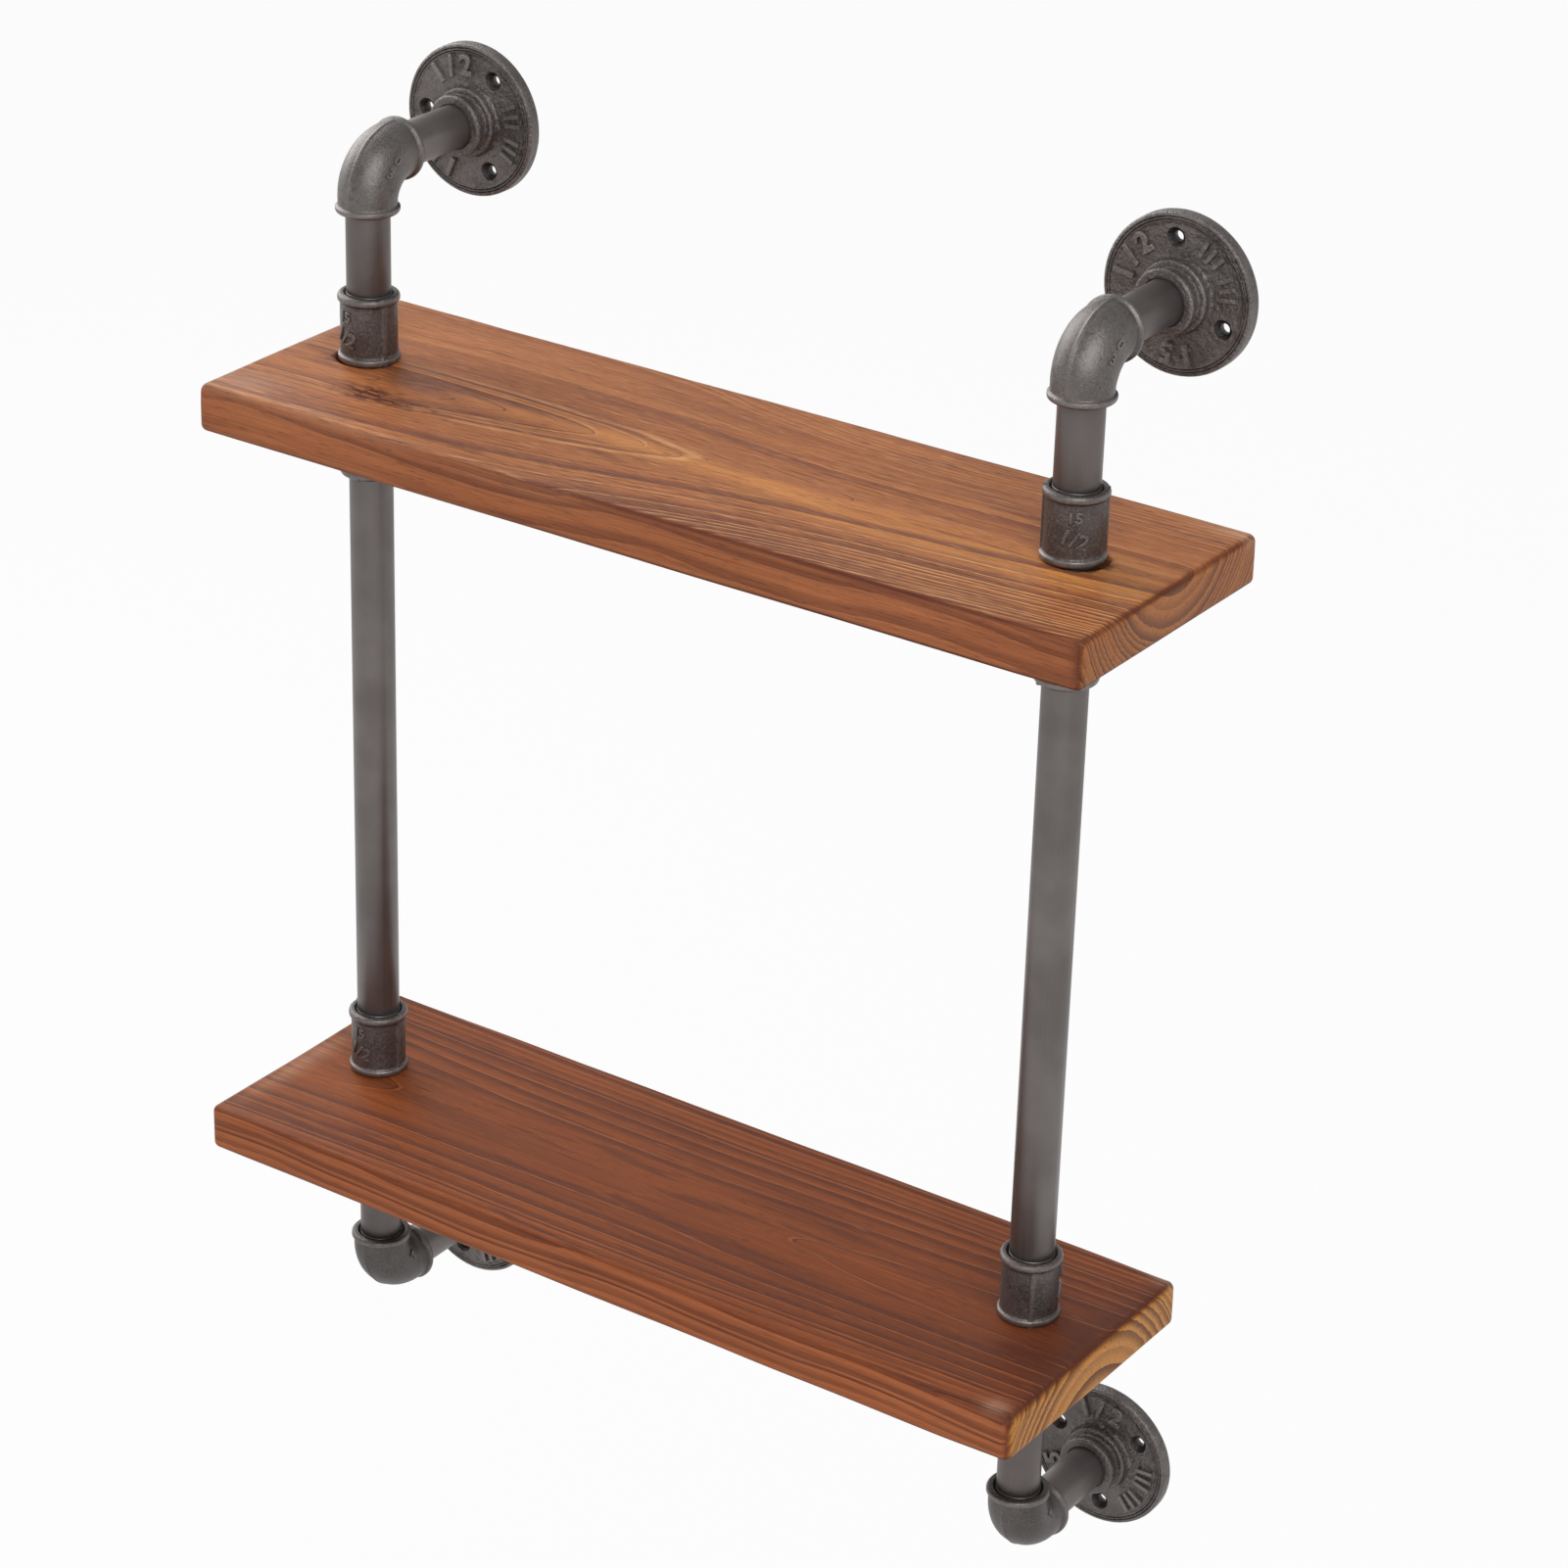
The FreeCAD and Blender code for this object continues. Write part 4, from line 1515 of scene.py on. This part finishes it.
def board_blank(low, high, worn_corner, worn_end, worn_front):
    """Closed block with worn, rounded edges, fine enough across the grain to carry its relief."""
    lines = [grid_lines(low[axis], high[axis], step)
             for axis, step in enumerate((board_step_along, board_step_across, board_step_up))]
    counts = [len(line) - 1 for line in lines]
    shape = bmesh.new()
    points = {}

    def corner(*key):
        """Point of the block at its place in the grid."""
        if key not in points:
            place = Vector([lines[axis][key[axis]] for axis in range(3)])
            front = ease(place.y, low.y + front_wear_length, low.y)
            top = ease(place.z, (low.z + high.z) / 2, high.z)
            wear = board_edge_wear * noise.noise(place / board_edge_wave)
            wear += worn_corner * ease(place.x, high.x - corner_wear_length, high.x) * front
            wear += worn_end * ease(place.x, high.x - end_wear_length, high.x) * top
            left = ease(place.x, low.x + left_wear_start, low.x + left_wear_end)
            wear += worn_front * left * front * top
            points[key] = shape.verts.new(rounded_point(place, low, high, board_edge_round + wear))
        return points[key]

    for axis in range(3):
        first, second = (axis + 1) % 3, (axis + 2) % 3
        for level in (0, counts[axis]):
            for i in range(counts[first]):
                for j in range(counts[second]):
                    keys = []
                    for step_first, step_second in ((0, 0), (1, 0), (1, 1), (0, 1)):
                        key = [0, 0, 0]
                        key[axis], key[first], key[second] = level, i + step_first, j + step_second
                        keys.append(corner(*key))
                    shape.faces.new(keys)
    return mesh_from(shape, "board_blank", board_sharp_angle)


def hole_places(node):
    """Middles of the two holes that the uprights pass through, in X and Y."""
    offset = BOARD_HOLES[node][1]
    return [Vector((middle("main_pipe_left").x - offset, pipe_line_y)),
            Vector((middle("main_pipe_right").x + offset, pipe_line_y))]


def hole_cutter(node, low, high):
    """Space of the two holes."""
    radius = BOARD_HOLES[node][0]
    angles = ring_angles(board_hole_sides)
    shape = bmesh.new()
    for place in hole_places(node):
        ends = [[shape.verts.new(place.to_3d() + around(radius, angle, height)) for angle in angles]
                for height in (low.z - cut_overrun, high.z + cut_overrun)]
        bridge(shape, ends, capped=True)
    return mesh_from(shape, "board_holes")


def board(node, material):
    """Board with its growth rings, brushed relief, knots and scuffs."""
    low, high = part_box(node)
    mesh = cut(board_blank(low, high, *WORN_EDGES[node]), hole_cutter(node, low, high))
    trunk = TRUNKS[node]
    holes = hole_places(node)
    hole_reach = BOARD_HOLES[node][0] + hole_margin
    values = {name: [] for name in BOARD_VALUES}
    moved = []
    for point in mesh.vertices:
        spot, normal = point.co, point.normal
        facing = [abs(part) for part in normal]
        place = ((spot.x - low.x) / MM, (spot.y - low.y) / MM, (spot.z - high.z) / MM)
        along, back, up = place
        reach, slope = trunk.reach(place, normal)
        steepness = max(slope.length, least_steepness)
        figure = figure_strength(node, along, back)
        rounding = 1 - ease(max(facing), *rounding_zone)
        clear = min((spot.xy - hole).length for hole in holes) > hole_reach
        held = {
            "from_pith": reach,
            "steepness": steepness,
            "figure": figure,
            # painted ridge highlight, none on the rounded edges
            "ridge_highlight_and_flame": highlight_and_flame_strength(node, along) * (1 - rounding),
            # stains, and a painted shadow beside the upper left coupling
            "warmth": spotted(STAINS_AND_SHADOWS[node], place),
            "end_grain": ease(facing[0], *end_grain_zone) if clear else 0.0,
            "planed": ease(facing[1], *planed_zone) if clear else 0.0,
            "edge": rounding * edge_strength(node, along) if clear else hole_wall_edge,
            "knot": min(spotted(KNOTS[node], place), 1.0),
            "scuff": min(spotted(SCUFFS[node], place), 1.0),
        }
        for name in BOARD_VALUES:
            values[name].append(held[name])
        valley = ease(trunk.ring_border(reach) / steepness, *valley_zone)
        flat = 1 - end_flatness * ease(facing[0], *end_flat_zone)
        flat *= 1 - ease(abs(slope.x) / steepness, *cross_flat_zone)
        sink = RELIEF[node] * figure * valley * flat if clear else 0.0
        moved.append(spot - normal * sink)
    for point, spot in zip(mesh.vertices, moved):
        point.co = spot
    mesh.update()
    for name, numbers in values.items():
        set_values(mesh, name, numbers)
    add_piece(node, mesh, material)


# Stage, light and camera

camera_spot = Vector((1114.35, -1678.91, 981.87)) * MM
camera_azimuth = math.radians(33.743)
camera_elevation = math.radians(25.862)
camera_roll = math.radians(1.702)
camera_sensor_mm = 36.0
camera_lens_mm = 105.57
camera_far_limit = 400.0

white = (1, 1, 1, 1)
world_strength = 0.45
floor_gap = 0.55
floor_height = cad_low.z - floor_gap
floor_half_size = 31.0
floor_paint = (0.6, 0.6, 0.6, 1)
floor_glow_share = 0.95
backdrop_radius = 30.0
backdrop_height = 9.0
backdrop_strength = 0.975
backdrop_sides = 96

# Lamps: place from the middle of the shelf, size and power
LAMPS = {
    "main_lamp": (Vector((-2.2, 0.4, 1.45)), 2.4, 58.0),
    "front_lamp": (Vector((1.45, -1.6, 1.8)), 2.0, 43.0),
}


def seen_ray(tree):
    """1 where a surface is looked at, or shows in metal or glass, and 0 where it lights."""
    rays = add(tree, "ShaderNodeLightPath").outputs
    seen = calc(tree, "MAXIMUM", rays["Is Camera Ray"], rays["Is Glossy Ray"])
    return calc(tree, "MAXIMUM", seen, rays["Is Transmission Ray"])


def stage_piece(name, shape, material):
    """Surface of the studio, which isn't part of the shelf."""
    mesh = mesh_from(shape, name)
    mesh.materials.append(material)
    piece = bpy.data.objects.new(name, mesh)
    bpy.context.scene.collection.objects.link(piece)


def floor():
    """White floor well below the shelf: bright to the eye, and it keeps a faint shadow."""
    material, tree = new_finish("studio_floor")
    paint = add(tree, "ShaderNodeBsdfDiffuse", {"Color": floor_paint})
    glow = add(tree, "ShaderNodeEmission", {"Color": white, "Strength": 1.0})
    share = product(tree, seen_ray(tree), floor_glow_share)
    mixed = add(tree, "ShaderNodeMixShader", {0: share, 1: paint.outputs[0], 2: glow.outputs[0]})
    add(tree, "ShaderNodeOutputMaterial", {"Surface": mixed.outputs[0]})
    shape = bmesh.new()
    bmesh.ops.create_grid(shape, x_segments=1, y_segments=1, size=floor_half_size,
                          matrix=Matrix.Translation((0, 0, floor_height)))
    stage_piece("studio_floor", shape, material)


def backdrop():
    """Far round wall: white to the eye, and it lights the shelf as the surroundings do."""
    material, tree = new_finish("studio_backdrop")
    rise = product(tree, seen_ray(tree), backdrop_strength - world_strength)
    glow = add(tree, "ShaderNodeEmission", {"Strength": calc(tree, "ADD", rise, world_strength)})
    add(tree, "ShaderNodeOutputMaterial", {"Surface": glow.outputs[0]})
    shape = bmesh.new()
    bmesh.ops.create_cone(shape, segments=backdrop_sides, radius1=backdrop_radius, radius2=backdrop_radius,
                          depth=backdrop_height,
                          matrix=Matrix.Translation((0, 0, floor_height + backdrop_height / 2)))
    stage_piece("studio_backdrop", shape, material)


def soft_lamp(name, spot, target, size, power):
    """Square area lamp aimed at a place."""
    light = bpy.data.lights.new(name, "AREA")
    light.size = size
    light.energy = power
    lamp = bpy.data.objects.new(name, light)
    lamp.location = spot
    lamp.rotation_mode = "QUATERNION"
    lamp.rotation_quaternion = (target - spot).to_track_quat("-Z", "Y")
    bpy.context.scene.collection.objects.link(lamp)


def light():
    """Even pale surroundings, a broad main lamp from the left and a second one from the front right."""
    world = bpy.data.worlds.new("studio")
    bpy.context.scene.world = world
    world.use_nodes = True
    tree = world.node_tree
    tree.nodes.clear()
    glow = add(tree, "ShaderNodeBackground", {"Color": white, "Strength": world_strength})
    add(tree, "ShaderNodeOutputWorld", {"Surface": glow.outputs[0]})
    heart = (cad_low + cad_high) / 2
    for name, (offset, size, power) in LAMPS.items():
        soft_lamp(name, heart + offset, heart, size, power)


def camera():
    """Camera at the photograph's place and angle."""
    lens = bpy.data.cameras.new("camera")
    lens.sensor_width = camera_sensor_mm
    lens.lens = camera_lens_mm
    lens.clip_end = camera_far_limit
    back = Vector((math.sin(camera_azimuth) * math.cos(camera_elevation),
                   -math.cos(camera_azimuth) * math.cos(camera_elevation), math.sin(camera_elevation)))
    right = Vector((0, 0, 1)).cross(back).normalized()
    up = back.cross(right)
    turn_right = right * math.cos(camera_roll) + up * math.sin(camera_roll)
    turn_up = up * math.cos(camera_roll) - right * math.sin(camera_roll)
    eye = bpy.data.objects.new("camera", lens)
    axes = Matrix((turn_right, turn_up, back)).transposed().to_4x4()
    eye.matrix_world = Matrix.Translation(camera_spot) @ axes
    bpy.context.scene.collection.objects.link(eye)
    bpy.context.scene.camera = eye


bpy.context.scene.view_settings.view_transform = "Standard"
camera()
floor()
backdrop()
light()

irons = {name: cast_finish(name, *values) for name, values in CAST_IRONS.items()}
steels = {name: pipe_finish(name, *values) for name, values in PIPE_STEELS.items()}
pipe_tree = threaded_pipe_tree()
bars_tree = mark_ring_tree()

for node in UPRIGHT_PIPES:
    # the drop nipples take the darker copy: painted shade
    pipe(node, pipe_tree, steels["shaded_drop_pipe_steel" if "drop" in node else "upright_pipe_steel"])
for node in ARM_PIPES:
    pipe(node, pipe_tree, steels["arm_pipe_steel"])
for node in COUPLINGS:
    coupling(node, irons["coupling_iron"])
for node in ELBOWS:
    # the lower elbows take the darker copy: painted shade
    elbow(node, irons["shaded_low_elbow_iron" if "lower" in node else "elbow_iron"])
for node in FLANGES:
    flange(node, irons["flange_iron"], bars_tree)
for node in BOARDS:
    board(node, wood_finish(node + "_wood", WOOD_TONES[node], TRUNKS[node], *WOOD_SHARES[node]))
